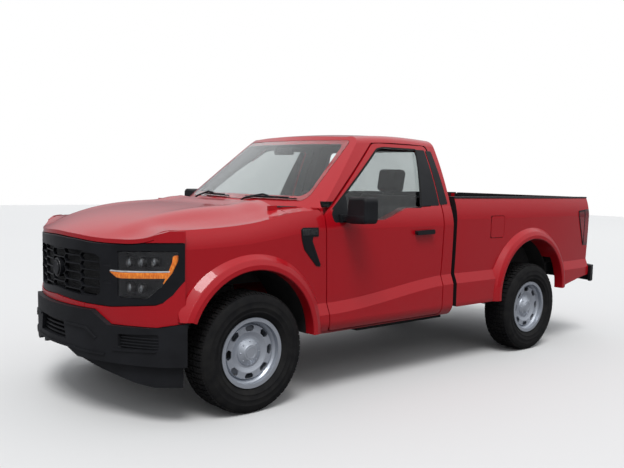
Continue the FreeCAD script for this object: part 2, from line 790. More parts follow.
def hood_height(x, share):
    """Height of the hood's skin, by its share of the half width."""
    y = share * hood_half(x)
    crown = hood_crown(x, y)
    seam = fender_top(x) + 3
    ridge = 12 * (1 - smooth((x - v("hood_rear_x") - 500) / 700))
    bump = ridge * math.exp(-((share - 0.63) / 0.1) ** 2)
    return crown + (seam - crown) * smooth((share - 0.5) / 0.52) ** 1.4 + bump - 5 * share * share


def hood_skin(down, first, last, reach=1.0):
    """The hood's skin, moved down, as one smooth face from a station to another, out to a share of its width."""
    rows = []
    steps = 16
    for k in range(steps + 1):
        x = first + (last - first) * k / steps
        half = hood_half(x)
        left = [Vector(x, half * share, hood_height(x, share) - down) for share in HOOD_MARKS[:-1] + [reach]]
        right = [Vector(p.x, -p.y, p.z) for p in left[1:]][::-1]
        rows.append(right + left)
    surface = Part.BSplineSurface()
    surface.interpolate(rows)
    return surface.toShape()


def make_hood():
    panel_form = hood_skin(0, v("hood_rear_x"), NOSE).extrude(Vector(0, 0, -v("hood_thickness")))
    plan = Part.Face(Part.Wire(Part.__sortEdges__([
        nose_curve(-4, 4), *[Part.LineSegment(a, b).toShape() for a, b in nose_tail()]])))
    plan = plan.extrude(Vector(0, 0, 2000))
    formed = panel_form.common(plan)
    arms = []
    for side in (1, -1):
        arm = block(HOOD_PIVOT.x - 13, v("hood_rear_x") + 80, 759, 777, HOOD_PIVOT.z - 14, HOOD_PIVOT.z + 8)
        riser = block(v("hood_rear_x") + 10, v("hood_rear_x") + 80, 759, 777, HOOD_PIVOT.z - 14, HOOD_PIVOT.z + 22)
        arms += [arm, riser] if side == 1 else [mirrored(arm), mirrored(riser)]
    bore = rod(Vector(HOOD_PIVOT.x, -900, HOOD_PIVOT.z), Vector(HOOD_PIVOT.x, 900, HOOD_PIVOT.z),
               6 + v("running_fit")).common(block(0, HOOD_PIVOT.x + 13, -900, 900, 0, 2000))
    return fused([formed] + arms).cut(bore)


def hood_room():
    """The space that the hood takes, with its gap, and all above it."""
    room = hood_skin(v("hood_thickness") + 6, v("hood_rear_x"), NOSE + 60).extrude(Vector(0, 0, 700))
    wide = FreeCAD.Matrix()
    wide.A22 = 1.008
    return room.transformGeometry(wide)


def nose_tail():
    """Lines that close the nose curve behind the hood."""
    curve = nose_curve(-4, 4)
    right = curve.valueAt(curve.FirstParameter)
    left = curve.valueAt(curve.LastParameter)
    back = v("hood_rear_x") - 50
    return [(left, Vector(back, left.y, 0)), (Vector(back, left.y, 0), Vector(back, right.y, 0)),
            (Vector(back, right.y, 0), right)]


TOP_MARKS = [(0, -5), (250, -12), (450, -24), (560, -24), (650, -20), (838, -6), (1000, -1)]
LOW_MARKS = [(0, 17), (300, 2), (560, 0), (735, 20), (850, 33), (885, 50), (925, 100), (1000, 270)]


def surround_top(y):
    """Height of the grille surround's upper edge."""
    across = abs(y)
    for (y0, z0), (y1, z1) in zip(TOP_MARKS, TOP_MARKS[1:]):
        if across <= y1:
            return v("grille_top") + z0 + (z1 - z0) * (across - y0) / (y1 - y0)
    return v("grille_top") + TOP_MARKS[-1][1]


def grille_outline(grow):
    """The grille surround's outline from ahead, grown up and down."""
    low = [(y, v("grille_bottom") + z - grow) for y, z in LOW_MARKS]
    high = [(y, v("grille_top") + z + grow) for y, z in TOP_MARKS]
    return from_ahead(low + high[::-1])


# Wings over the front wheels, with a rolled flare round each arch
def flare(axle_x, arch_z, arch_radius, low_z, half):
    """A ring round a wheel arch that stands out to the truck's full width."""
    band = v("flare_band")
    lip = v("flare_lip")
    y0 = half - v("flare_root")
    y1 = v("flare_half_width")
    profile = [
        (arch_radius, y0), (arch_radius, y1 - 6), (arch_radius + 6, y1), (arch_radius + lip, y1),
        (arch_radius + band * 0.62, y1 - 16), (arch_radius + band, half - 34), (arch_radius + band, y0),
    ]
    face = Part.Face(rounded(profile, [0, 4, 4, 10, 24, 8, 0]))
    face.rotate(ORIGIN, X_AXIS, 0)
    ring = face.revolve(ORIGIN, Y_AXIS, 360)
    ring.translate(Vector(axle_x, 0, arch_z))
    return ring.common(block(axle_x - 900, axle_x + 900, 0, 1200, low_z, 2000))


def over_fender():
    """All that lies above the fender's top line."""
    first = DOOR_FRONT - 60
    stations = [first + (NOSE - first) * k / 20 for k in range(21)]
    faces = [[Vector(x, y, z) for y, z in ((300, fender_top(x)), (1300, fender_top(x)), (1300, 1900), (300, 1900))]
             for x in stations]
    return Part.makeLoft([Part.makePolygon(corners + [corners[0]]) for corners in faces], True, True)


def over_bumper(grow):
    """All that lies above the front bumper's stepped top."""
    high = v("bumper_top") + grow
    low = v("bumper_shoulder") + grow
    return from_ahead([(0, high), (450, high), (580, low), (860, low + 3), (1000, low + 38), (1100, low + 60), (1100, 1500),
                       (0, 1500)])


def make_wing_cap():
    """The wing's top behind the hood, which rises from the belt line to the screen's foot."""
    front = v("hood_rear_x") - v("hood_gap")
    cap = hood_skin(0, DOOR_FRONT + 4, front + 40, 1.03).extrude(Vector(0, 0, -v("fender_wall")))
    cap = cap.common(block(DOOR_FRONT + v("shut_gap"), front, 752.5, HALF - v("belt_inset") - 1, 0, 2000))
    inner = block(DOOR_FRONT, front + 1, 750, v("screen_base_half") + 6, 0, 2000)
    slot = block(HOOD_PIVOT.x - 24, front + 10, 745, 786, 0, 2000)
    return cap.cut(cab).cut(screen_sheet(4).extrude(Vector(-2500, 0, 0)).common(inner)).cut(slot)


def make_fender():
    skin = skin_slab(FENDER_STATIONS, fender_top, 0, v("fender_wall"))
    low = v("sill_height") + 22
    outline = fender_outline(0)
    wing = skin.common(outline_prism(outline, 0, "y", 0, 1200))
    ring = flare(FRONT_AXLE, v("front_arch_height"), v("front_arch_radius"), low, HALF)
    ring = ring.common(outline_prism(outline, 0, "y", 0, 1200))
    corner = nose_band(14, 6, 40, v("bumper_shoulder") - 10, 1300)
    corner = corner.common(block(1500, 3000, v("panel_end") + 4, 1200, 0, 2000)).common(over_bumper(4))
    corner = corner.cut(over_fender()).cut(hood_room()).cut(grille_outline(4))
    nose = nose_band(20, 16, 130, v("grille_bottom") - 20, v("grille_top") + 10).common(grille_outline(4))
    bumper = nose_band(80, 60, 260, 0, v("bumper_top") + 20).cut(over_bumper(4))
    wing = fused([wing.cut(over_fender()), ring, corner]).cut(nose).cut(bumper)
    wing = wing.fuse(make_wing_cap())
    arch = Part.makeCylinder(v("front_arch_radius"), 1200, Vector(FRONT_AXLE, 0, v("front_arch_height")), Y_AXIS)
    below = block(FRONT_AXLE - v("front_arch_radius") * 0.985, FRONT_AXLE + v("front_arch_radius") * 0.985, 0, 1200,
                  0, v("front_arch_height"))
    return biggest(wing.cut(arch).cut(below))


fender = make_fender()
piece("fender_left", fender)
piece("fender_right", mirrored(fender))


def lamp_prism(grow):
    """The headlamp's outline from ahead: tall inside, cut back below its outer corner."""
    inner = v("lamp_inner_y") - grow
    outer = v("lamp_outer_y") + grow
    low = v("lamp_bottom") - grow
    high = v("lamp_top") + grow
    return outline_prism([
        (inner, low), (outer - 136, low + 3), (outer - 62, low + 84), (outer - 20, low + 168), (outer, low + 240),
        (outer, high), (inner, high - 17)], [14, 20, 40, 60, 30, 14, 12], "x", 1500, 3200)


CELL_TIP = 104
CELL_FLAT = 84
CELL_RISE = 23


def honeycomb(ahead, spread, depth, window, bottom, pitch):
    """A grille plate with staggered columns of flat six-sided cells."""
    plate = nose_band(ahead, spread, depth, v("grille_bottom"), v("grille_top")).common(window)
    column = CELL_TIP + CELL_FLAT + 4
    cells = []
    for across in range(-3, 4):
        y = across * column
        for row in range(-1, 7):
            z = bottom + (row + 0.5 * (across % 2)) * pitch
            corners = [(y - CELL_TIP, z), (y - CELL_FLAT, z - CELL_RISE), (y + CELL_FLAT, z - CELL_RISE), (y + CELL_TIP, z),
                       (y + CELL_FLAT, z + CELL_RISE), (y - CELL_FLAT, z + CELL_RISE)]
            cells.append(outline_prism(corners, 5, "x", 1500, 3200))
    return plate.cut(Part.makeCompound(cells))


def make_grille():
    """The black surround, its honeycomb and the plain round boss in the middle."""
    bottom = v("grille_bottom")
    frame = nose_band(6, 0, v("grille_depth"), bottom, v("grille_top")).common(grille_outline(0))
    opening = from_ahead([(0, bottom + 66), (290, bottom + 46), (436, bottom + 50), (480, bottom + 74),
                          (480, bottom + 298), (436, bottom + 316), (300, bottom + 330), (0, bottom + 328)])
    frame = frame.cut(opening).cut(hood_room())
    lamps = lamp_prism(2)
    frame = frame.cut(lamps).cut(mirrored(lamps))
    mesh = honeycomb(-8, -6, 22, opening, bottom + 76, 54)
    boss = rod(Vector(NOSE - 40, 0, 923), Vector(NOSE + 4, 0, 923), 64)
    face = rod(Vector(NOSE, 0, 923), Vector(NOSE + 12, 0, 923), 50)
    return fused([frame, mesh, boss, face])


grille = make_grille()
piece("grille", grille)
lamp = nose_band(0, -4, 96, v("lamp_bottom"), v("lamp_top")).common(lamp_prism(0))
piece("headlamps", Part.makeCompound([lamp, mirrored(lamp)]))
middle = block(1500, 3000, -v("panel_end"), v("panel_end"), 0, 2000)
panel = nose_band(14, 6, 40, v("bumper_shoulder"), v("grille_bottom") + 20).common(middle).common(over_bumper(4))
piece("front_panel", panel.cut(grille_outline(3)))


# Front bumper with its intake, lamp pockets, pressed ridges and the air dam below
def make_front_bumper():
    reach = v("bumper_reach")
    bottom = v("bumper_bottom")
    bar = nose_band(reach, 32, v("bumper_depth"), bottom, v("bumper_top")).cut(over_bumper(0))
    under = from_ahead([(0, bottom - 10), (330, bottom - 10), (330, bottom), (210, bottom + 50), (0, bottom + 50)])
    bar = bar.cut(under)
    skirt = from_ahead([(0, bottom + 42), (240, bottom + 42), (274, bottom - 8), (439, bottom - 50), (591, bottom - 84),
                        (721, bottom - 118), (838, v("dam_bottom")), (1000, v("dam_bottom")), (1000, bottom + 42)])
    dam = nose_band(reach - 46, -14, 30, v("dam_bottom"), bottom + 42).common(skirt)
    dam = dam.common(block(1500, 3000, 240, 1200, 0, 2000))
    intake = from_ahead([(0, bottom + 94), (206, bottom + 94), (180, bottom + 212), (0, bottom + 212)])
    pocket = outline_prism([(652, bottom + 100), (888, bottom + 106), (888, bottom + 200), (652, bottom + 184)], 12,
                           "x", 1500, 3200)
    recess = nose_band(reach + 20, 60, 60, 0, 2000).common(pocket)
    bar = bar.cut(intake).cut(recess).cut(mirrored(recess))
    slats = []
    for k in range(4):
        z = bottom + 106 + k * 28
        slats.append(nose_band(reach - 26, 20, 40, z, z + 12).common(intake))
    lip_form = from_ahead([(0, bottom + 49), (300, bottom + 49), (352, bottom + 40), (560, bottom + 40),
                           (560, bottom + 54), (356, bottom + 54), (306, bottom + 63), (0, bottom + 63)])
    lip = nose_band(reach + v("bumper_lip"), 36, 30, bottom, bottom + 100).common(lip_form)
    brow = outline_prism([(196, bottom + 210), (200, bottom + 196), (400, bottom + 190), (486, bottom + 136),
                          (500, bottom + 142), (412, bottom + 204)], 4, "x", 1500, 3200)
    brow = nose_band(reach + v("bumper_lip"), 36, 30, bottom, 2000).common(brow)
    ledge = outline_prism([(620, bottom + 78), (880, bottom + 90), (880, bottom + 102), (620, bottom + 92)], 4, "x",
                          1500, 3200)
    ledge = nose_band(reach + v("bumper_lip"), 40, 30, bottom, 2000).common(ledge)
    pads = [block(FRONT_AXLE + 780, NOSE - 42, side * v("rail_half_spacing") - 35, side * v("rail_half_spacing") + 35,
                  bottom + 194, v("bumper_top") - 36) for side in (1, -1)]
    forms = [bar, dam, mirrored(dam), lip, brow, mirrored(brow), ledge, mirrored(ledge)]
    return fused(forms + slats + pads)


bumper_front = make_front_bumper()
piece("bumper_front", bumper_front)


hood = make_hood()
piece("hood", hood)

# Parametric helpers: every size and place is bound to the sheets
def settle(made, x, y, z):
    """Binds where an object stands."""
    for axis, formula in zip("xyz", (x, y, z)):
        made.setExpression("Placement.Base." + axis, bound(formula))
    return made


def bar(name, x, y, z, length, width, height):
    """A bound box from its low corner."""
    made = doc.addObject("Part::Box", name)
    for side, formula in (("Length", length), ("Width", width), ("Height", height)):
        made.setExpression(side, bound(formula))
    return settle(made, x, y, z)


TURNS = {"x": FreeCAD.Rotation(Y_AXIS, 90), "y": FreeCAD.Rotation(X_AXIS, -90), "z": FreeCAD.Rotation()}


def tube(name, axis, x, y, z, radius, length):
    """A bound round bar that runs forward along an axis from its end."""
    made = doc.addObject("Part::Cylinder", name)
    made.setExpression("Radius", bound(radius))
    made.setExpression("Height", bound(length))
    made.Placement = FreeCAD.Placement(ORIGIN, TURNS[axis])
    return settle(made, x, y, z)


def ball(name, x, y, z, radius):
    """A bound sphere."""
    made = doc.addObject("Part::Sphere", name)
    made.setExpression("Radius", bound(radius))
    return settle(made, x, y, z)


def strut(name, start, end, radius):
    """A bound round bar between two places, worked out from the sheet."""
    made = doc.addObject("Part::Feature", name)
    made.Shape = rod(Vector(*[value_of(f) for f in start]), Vector(*[value_of(f) for f in end]), value_of(radius))
    return made


def value_of(formula):
    """The number that a formula of sizes and places gives."""
    words = formula.replace("(", " ( ").replace(")", " ) ").split()
    total = []
    for word in words:
        total.append(str(v(word)) if word in SIZE_NAMES or word in PLACE_NAMES else word)
    return reckon(total)


def reckon(words):
    """Works out sums and products from left to right, products first."""
    terms = []
    sign = 1.0
    k = 0
    while k < len(words):
        word = words[k]
        if word in "+-":
            sign = 1.0 if word == "+" else -1.0
        elif word in "*/":
            k += 1
            terms[-1] = terms[-1] * float(words[k]) if word == "*" else terms[-1] / float(words[k])
        else:
            terms.append(sign * float(word))
            sign = 1.0
        k += 1
    return sum(terms)


def union(name, parts):
    """A bound fusion of objects that meet."""
    made = doc.addObject("Part::MultiFuse", name)
    made.Shapes = parts
    made.Refine = True
    return made


def minus(name, base, tool):
    """A bound cut."""
    made = doc.addObject("Part::Cut", name)
    made.Base = base
    made.Tool = tool
    return made


def flipped(name, source):
    """The same object on the truck's right."""
    made = doc.addObject("Part::Mirroring", name)
    made.Source = source
    made.Normal = Y_AXIS
    return made


def group(name, parts):
    """Solids that share a node."""
    made = doc.addObject("Part::Compound", name)
    made.Links = parts
    return made


def pair(label, source):
    """A node of a solid and its mirror image."""
    return keep(label, group(label, [source, flipped(label + "_twin", source)]))


def outline_sketch(body, role, points):
    """A closed sketch of straight lines, whose every corner is bound to the sheet."""
    plane = [f for f in body.Origin.OriginFeatures if f.Role == role][0]
    sketch = body.newObject("Sketcher::SketchObject", body.Name + "_outline")
    sketch.AttachmentSupport = [(plane, "")]
    sketch.MapMode = "FlatFace"
    spots = [Vector(value_of(a), value_of(b), 0) for a, b in points]
    count = len(points)
    for i in range(count):
        sketch.addGeometry(Part.LineSegment(spots[i], spots[(i + 1) % count]), False)
    for i in range(count):
        sketch.addConstraint(Sketcher.Constraint("Coincident", i, 2, (i + 1) % count, 1))
    for i, (a, b) in enumerate(points):
        k = sketch.addConstraint(Sketcher.Constraint("DistanceX", -1, 1, i, 1, spots[i].x))
        sketch.setExpression("Constraints[%d]" % k, bound(a))
        k = sketch.addConstraint(Sketcher.Constraint("DistanceY", -1, 1, i, 1, spots[i].y))
        sketch.setExpression("Constraints[%d]" % k, bound(b))
    return sketch


def turned(body, points):
    """A profile of (radius, along) points turned round the body's own Y axis."""
    sketch = outline_sketch(body, "XY_Plane", points)
    made = body.newObject("PartDesign::Revolution", body.Name + "_turned")
    made.Profile = sketch
    made.ReferenceAxis = (sketch, ["V_Axis"])
    made.Angle = 360
    return made


def side_pad(name, points, y, width):
    """A profile of (x, z) points as thick as the width, from y towards the truck's left."""
    body = doc.addObject("PartDesign::Body", name)
    sketch = outline_sketch(body, "XZ_Plane", points)
    made = body.newObject("PartDesign::Pad", name + "_pad")
    made.Profile = sketch
    made.Reversed = True
    made.setExpression("Length", bound(width))
    body.setExpression("Placement.Base.y", bound(y))
    return body


def plan_pad(name, points, z, height):
    """A profile of (x, y) points raised from z."""
    body = doc.addObject("PartDesign::Body", name)
    sketch = outline_sketch(body, "XY_Plane", points)
    made = body.newObject("PartDesign::Pad", name + "_pad")
    made.Profile = sketch
    made.setExpression("Length", bound(height))
    body.setExpression("Placement.Base.z", bound(z))
    return body


# Wheels: a tyre and a pressed steel rim with its hub and brake disc, outer face towards the body's +Y
HALF_RIM = "rim_width / 2"
TYRE_PROFILE = [
    ("bead_seat_radius + bead_clearance", HALF_RIM + " - 9"), ("rim_flange_radius + 6", HALF_RIM + " - 9"),
    ("rim_flange_radius + 34", "tyre_width / 2 - 8"), ("rim_flange_radius + 80", "tyre_width / 2"),
    ("tyre_radius - 34", "sidewall_edge + 8"), ("tyre_radius - 9", "sidewall_edge - 8"), ("tyre_radius", "tread_edge - 12"),
]
BARREL = [
    ("rim_flange_radius", HALF_RIM), ("rim_flange_radius", HALF_RIM + " - 8"), ("bead_seat_radius", HALF_RIM + " - 8"),
    ("bead_seat_radius - 2", HALF_RIM + " - 38"), ("rim_well_radius", HALF_RIM + " - 58"),
    ("rim_well_radius", "58 - " + HALF_RIM), ("bead_seat_radius - 2", "38 - " + HALF_RIM),
    ("bead_seat_radius", "8 - " + HALF_RIM), ("rim_flange_radius", "8 - " + HALF_RIM),
    ("rim_flange_radius", "0 - " + HALF_RIM), ("bead_seat_radius - rim_wall", "0 - " + HALF_RIM),
    ("bead_seat_radius - rim_wall - 2", "34 - " + HALF_RIM), ("rim_well_radius - rim_wall", "54 - " + HALF_RIM),
]
DISC = [
    ("rim_well_radius - rim_wall", "disc_offset - 44"), ("rim_well_radius - rim_wall - 15", "disc_offset - disc_wall"),
    ("wheel_slot_circle - 30", "disc_offset - disc_wall"), ("cap_radius + 14", "disc_offset - 24"),
    ("cap_radius - 20", "disc_offset - 24"), ("cap_radius - 20", "disc_offset - 14"), ("cap_radius + 14", "disc_offset - 14"),
    ("wheel_slot_circle - 26", "disc_offset"), ("rim_well_radius - rim_wall - 11", "disc_offset"),
    ("rim_well_radius - rim_wall", "disc_offset - 26"), ("rim_well_radius - rim_wall", HALF_RIM + " - 54"),
    ("bead_seat_radius - rim_wall - 2", HALF_RIM + " - 34"), ("bead_seat_radius - rim_wall", HALF_RIM),
]
HUB = [
    ("spindle_radius + running_fit", "disc_offset - 118"), ("brake_radius", "disc_offset - 118"),
    ("brake_radius", "disc_offset - 118 + brake_thickness"), ("hub_radius - 8", "disc_offset - 118 + brake_thickness"),
    ("hub_radius - 8", "disc_offset - 24"), ("cap_radius - 20", "disc_offset - 24"), ("cap_radius - 20", "disc_offset - 14"),
    ("cap_radius", "disc_offset - 14"), ("cap_radius - 6", "disc_offset - 4"), ("cap_radius - 34", "disc_offset + cap_height - 20"),
    ("cap_radius - 42", "disc_offset + cap_height - 14"), ("0", "disc_offset + cap_height - 14"), ("0", "disc_offset - 22"),
    ("spindle_radius + running_fit", "disc_offset - 22"),
]


def whole_tyre_profile():
    other = []
    for radius, along in TYRE_PROFILE[::-1]:
        words = along.split()
        swapped = "0 - " + " ".join({"+": "-", "-": "+"}.get(word, word) for word in words)
        other.append((radius, swapped))
    return TYRE_PROFILE + other


def make_tyre(label):
    body = doc.addObject("PartDesign::Body", label)
    turned(body, whole_tyre_profile())
    return body


def make_rim(label, with_hub):
    body = doc.addObject("PartDesign::Body", label)
    turned(body, BARREL + DISC)
    slot = outline_sketch(body, "XZ_Plane", [
        ("wheel_slot_width / 2 - 3", "wheel_slot_circle - 21"), ("wheel_slot_width / 2 + 10", "wheel_slot_circle - 4"),
        ("wheel_slot_width / 2 + 9", "wheel_slot_circle + 8"), ("wheel_slot_width / 2 - 6", "wheel_slot_circle + 17"),
        ("6 - wheel_slot_width / 2", "wheel_slot_circle + 17"), ("0 - wheel_slot_width / 2 - 9", "wheel_slot_circle + 8"),
        ("0 - wheel_slot_width / 2 - 10", "wheel_slot_circle - 4"), ("3 - wheel_slot_width / 2", "wheel_slot_circle - 21")])
    pocket = body.newObject("PartDesign::Pocket", label + "_slot")
    pocket.Profile = slot
    pocket.Type = "ThroughAll"
    pocket.Midplane = True
    ring = body.newObject("PartDesign::PolarPattern", label + "_slots")
    ring.Originals = [pocket]
    ring.Axis = (slot, ["N_Axis"])
    ring.Angle = 360
    ring.setExpression("Occurrences", bound("wheel_slot_count"))
    body.Tip = ring
    if with_hub:
        turned(body, HUB)
    return body


def stand_wheel(made, x, y, z, turn):
    """Puts a wheel piece on its axle, outer face left, or right when it is turned round."""
    made.Placement = FreeCAD.Placement(ORIGIN, FreeCAD.Rotation(Z_AXIS, turn))
    return settle(made, x, y, z)


WHEELS = [
    ("front_left", "front_axle_x", "front_wheel_y", 0), ("front_right", "front_axle_x", "0 - front_wheel_y", 180),
    ("rear_left", "rear_axle_x", "rear_wheel_y", 0), ("rear_right", "rear_axle_x", "0 - rear_wheel_y", 180),
]
for place, x, y, turn in WHEELS:
    keep("tyre_" + place, stand_wheel(make_tyre("tyre_" + place), x, y, "tyre_radius", turn))
    keep("rim_" + place, stand_wheel(make_rim("rim_" + place, True), x, y, "tyre_radius", turn))

# Steering knuckles: an upright on the kingpin line, its spindle, caliper and steering arm
UPRIGHT_FACE = "front_wheel_y + disc_offset - 118 - brake_gap"


def make_knuckle():
    x = "front_axle_x"
    parts = [
        bar("upright", x + " - upright_width / 2", "kingpin_y - upright_thickness / 2 - 8",
            "tyre_radius - upright_height / 2 + 34", "upright_width", "upright_thickness", "upright_height - 68"),
        tube("bearing_carrier", "y", x, "kingpin_y - 40", "tyre_radius", "hub_radius - 16",
             "front_wheel_y - kingpin_y + 40 + disc_offset - 118 - brake_gap"),
        tube("spindle", "y", x, "kingpin_y", "tyre_radius", "spindle_radius",
             "front_wheel_y - kingpin_y + disc_offset - 28"),
        bar("steering_arm", x + " - tie_rod_setback - 18", "kingpin_y - 36", "tie_rod_height + 14",
            "tie_rod_setback + 18", "32", "24"),
        tube("upper_pin", "z", x, "kingpin_y", "tyre_radius + arm_rise - 30", "kingpin_radius", "36"),
        tube("lower_pin", "z", x, "kingpin_y", "tyre_radius - arm_rise - 6", "kingpin_radius", "36"),
    ]
    caliper = bar("caliper_block", x + " + 104", "front_wheel_y - 84", "tyre_radius - 33", "76", "88", "66")
    web = bar("caliper_bracket", x + " + 30", "kingpin_y - 18", "tyre_radius - 30", "84", "20", "60")
    groove = tube("disc_room", "y", x, "front_wheel_y + disc_offset - 118 - brake_gap", "tyre_radius",
                  "brake_radius + 5", "brake_thickness + 2 * brake_gap")
    return minus("knuckle_form", union("knuckle_parts", parts + [caliper, web]),
                 minus("disc_room_ring", groove, tube("spindle_room", "y", x, "0", "tyre_radius", "spindle_radius",
                                                      "rear_track")))


knuckle = make_knuckle()
keep("knuckle_left", knuckle)
keep("knuckle_right", flipped("knuckle_right_form", knuckle))

# Steering rods: one sliding bar whose cups lie just under the knuckle arms
rack_bar = tube("rack_bar", "y", "front_axle_x - tie_rod_setback", "20 - kingpin_y", "tie_rod_height - 8",
                "tie_rod_radius", "2 * kingpin_y - 40")
rod_end = tube("rod_end", "z", "front_axle_x - tie_rod_setback", "kingpin_y - 20", "tie_rod_height - 22", "18", "35")
keep("steering_rods", union("steering_rods", [rack_bar, rod_end, flipped("rod_end_twin", rod_end)]))

# Front suspension: wishbones, coil-over struts, rack housing, diff and half shafts
def make_front_suspension():
    parts = []
    for level, rise in (("lower", "0 - arm_rise"), ("upper", "arm_rise")):
        z = "tyre_radius - arm_thickness / 2 " + ("+ arm_rise" if level == "upper" else "- arm_rise")
        arm = plan_pad(level + "_arm", [
            ("front_axle_x + 20", "kingpin_y + 2"), ("front_axle_x - 20", "kingpin_y + 2"),
            ("front_axle_x - 44", "kingpin_y - 60"), ("front_axle_x - 150", "rail_half_spacing + rail_width / 2"),
            ("front_axle_x - 90", "rail_half_spacing + rail_width / 2"), ("front_axle_x", "kingpin_y - 150"),
            ("front_axle_x + 90", "rail_half_spacing + rail_width / 2"),
            ("front_axle_x + 150", "rail_half_spacing + rail_width / 2"), ("front_axle_x + 44", "kingpin_y - 60")],
            z, "arm_thickness")
        parts += [arm, tube(level + "_arm_eye", "z", "front_axle_x", "kingpin_y", z, "kingpin_radius + 6",
                            "arm_thickness")]
    strut_low = ("front_axle_x + 54", "kingpin_y - 130", "tyre_radius - arm_rise")
    strut_high = ("front_axle_x + 10", "rail_half_spacing + 92", "tyre_radius + 380")
    parts.append(strut("coil_strut", strut_low, strut_high, "22"))
    middle = ("front_axle_x + 50", "kingpin_y - 168", "tyre_radius + 70")
    parts.append(strut("coil_spring", middle, strut_high, "52"))
    return parts


front_parts = make_front_suspension()
tower = bar("strut_tower", "front_axle_x - 70", "rail_half_spacing", "tyre_radius + 360", "140", "168", "30")
tower_post = bar("tower_post", "front_axle_x - 70", "rail_half_spacing", "rail_front_bottom + 140", "140",
                 "rail_width / 2 + 8", "tyre_radius + 370 - rail_front_bottom - 140")
suspension_whole = union("front_suspension_whole", front_parts + [tower, tower_post])
kingpin_room = tube("kingpin_room", "z", "front_axle_x", "kingpin_y", "tyre_radius - 2 * arm_rise",
                    "kingpin_radius + running_fit", "4 * arm_rise")
suspension_side = minus("front_suspension_side", suspension_whole, kingpin_room)


# Frame: two boxed rails that step up over each axle, and the members between them
def make_rail():
    return side_pad("frame_rail", [
        ("rear_axle_x - 1050", "rail_top - 170"), ("rear_axle_x - 400", "rail_top - 170"),
        ("rear_axle_x - 300", "rail_arch_height"), ("rear_axle_x + 360", "rail_arch_height"),
        ("rear_axle_x + 600", "rail_mid_bottom"), ("front_axle_x - 640", "rail_mid_bottom"),
        ("front_axle_x - 440", "rail_front_bottom"), ("front_axle_x + 780", "rail_front_bottom"),
        ("front_axle_x + 780", "rail_front_bottom + 140"), ("front_axle_x - 420", "rail_front_bottom + 140"),
        ("firewall_x + 15", "cab_floor_height - cab_floor_thickness - 15"),
        ("rear_axle_x + 680", "cab_floor_height - cab_floor_thickness - 15"), ("rear_axle_x + 420", "rail_top"),
        ("rear_axle_x - 1050", "rail_top")], "rail_half_spacing - rail_width / 2", "rail_width")


pair("frame_rails", make_rail())
SPAN = ("0 - rail_half_spacing + rail_width / 2", "2 * rail_half_spacing - rail_width")


def member(name, x, z, length, height):
    """A cross member between the rails' inner faces."""
    return bar(name, x, SPAN[0], z, length, SPAN[1], height)


arm_brackets = [bar("arm_bracket_%d" % k, "front_axle_x " + x, "rail_half_spacing - rail_width / 2",
                    "tyre_radius - arm_rise + arm_thickness / 2", "60", "rail_width",
                    "rail_front_bottom - tyre_radius + arm_rise - arm_thickness / 2")
                for k, x in enumerate(("+ 90", "- 150"))]
rod_room = tube("rod_room", "y", "front_axle_x - tie_rod_setback", "rail_half_spacing - rail_width", "tie_rod_height - 8",
                "tie_rod_radius + 11", "2 * rail_width")
arm_brackets[1] = minus("arm_bracket_rear", arm_brackets[1], rod_room)
body_mounts = [tube("body_mount_%d" % k, "z", x, "rail_half_spacing", "cab_floor_height - cab_floor_thickness - 15",
                    "34", "15") for k, x in enumerate(("firewall_x - 200", "cab_rear_x + 160"))]
gearbox_mount = bar("gearbox_mount", "front_axle_x - 1090", "gearbox_radius + 10", "gearbox_height", "90",
                    "rail_half_spacing - rail_width / 2 - gearbox_radius - 10", "34")
bracket_side = [group("arm_brackets", arm_brackets), group("body_mounts", body_mounts), gearbox_mount]
SPARE_X = "rear_axle_x - 615"
SPARE_Z = "rail_top - 170 - tyre_width / 2 - 24"
spare_hanger = union("spare_hanger", [
    member("spare_member", SPARE_X + " - 40", "rail_top - 60", "80", "60"),
    tube("spare_winch", "z", SPARE_X, "0", SPARE_Z + " - disc_offset + 6", "14", "disc_offset + tyre_width / 2 + 130"),
    tube("spare_plate", "z", SPARE_X, "0", SPARE_Z + " - disc_offset + 6", "cap_radius + 6", "8"),
])
keep("frame_crossmembers", group("frame_crossmembers", [
    member("nose_member", "front_axle_x + 640", "rail_front_bottom + 20", "70", "90"),
    member("engine_member", "front_axle_x - 60", "rail_front_bottom", "120", "28"),
    member("tank_member", "rear_axle_x + 700", "rail_mid_bottom + 70", "60", "50"),
    member("axle_member", "rear_axle_x + 150", "rail_top - 50", "70", "50"),
    spare_hanger,
    member("tail_member", "rear_axle_x - 1050", "rail_top - 170", "60", "120"),
] + bracket_side + [flipped(made.Name + "_twin", made) for made in bracket_side]))

# Heavy masses and running gear
keep("engine_block", union("engine_block", [
    bar("engine_body", "front_axle_x - 300", "0 - engine_width / 2", "engine_bottom", "engine_length", "engine_width",
        "engine_height"),
    bar("engine_mounts", "front_axle_x - 40", SPAN[0], "rail_front_bottom + 60", "80", SPAN[1], "40")]))


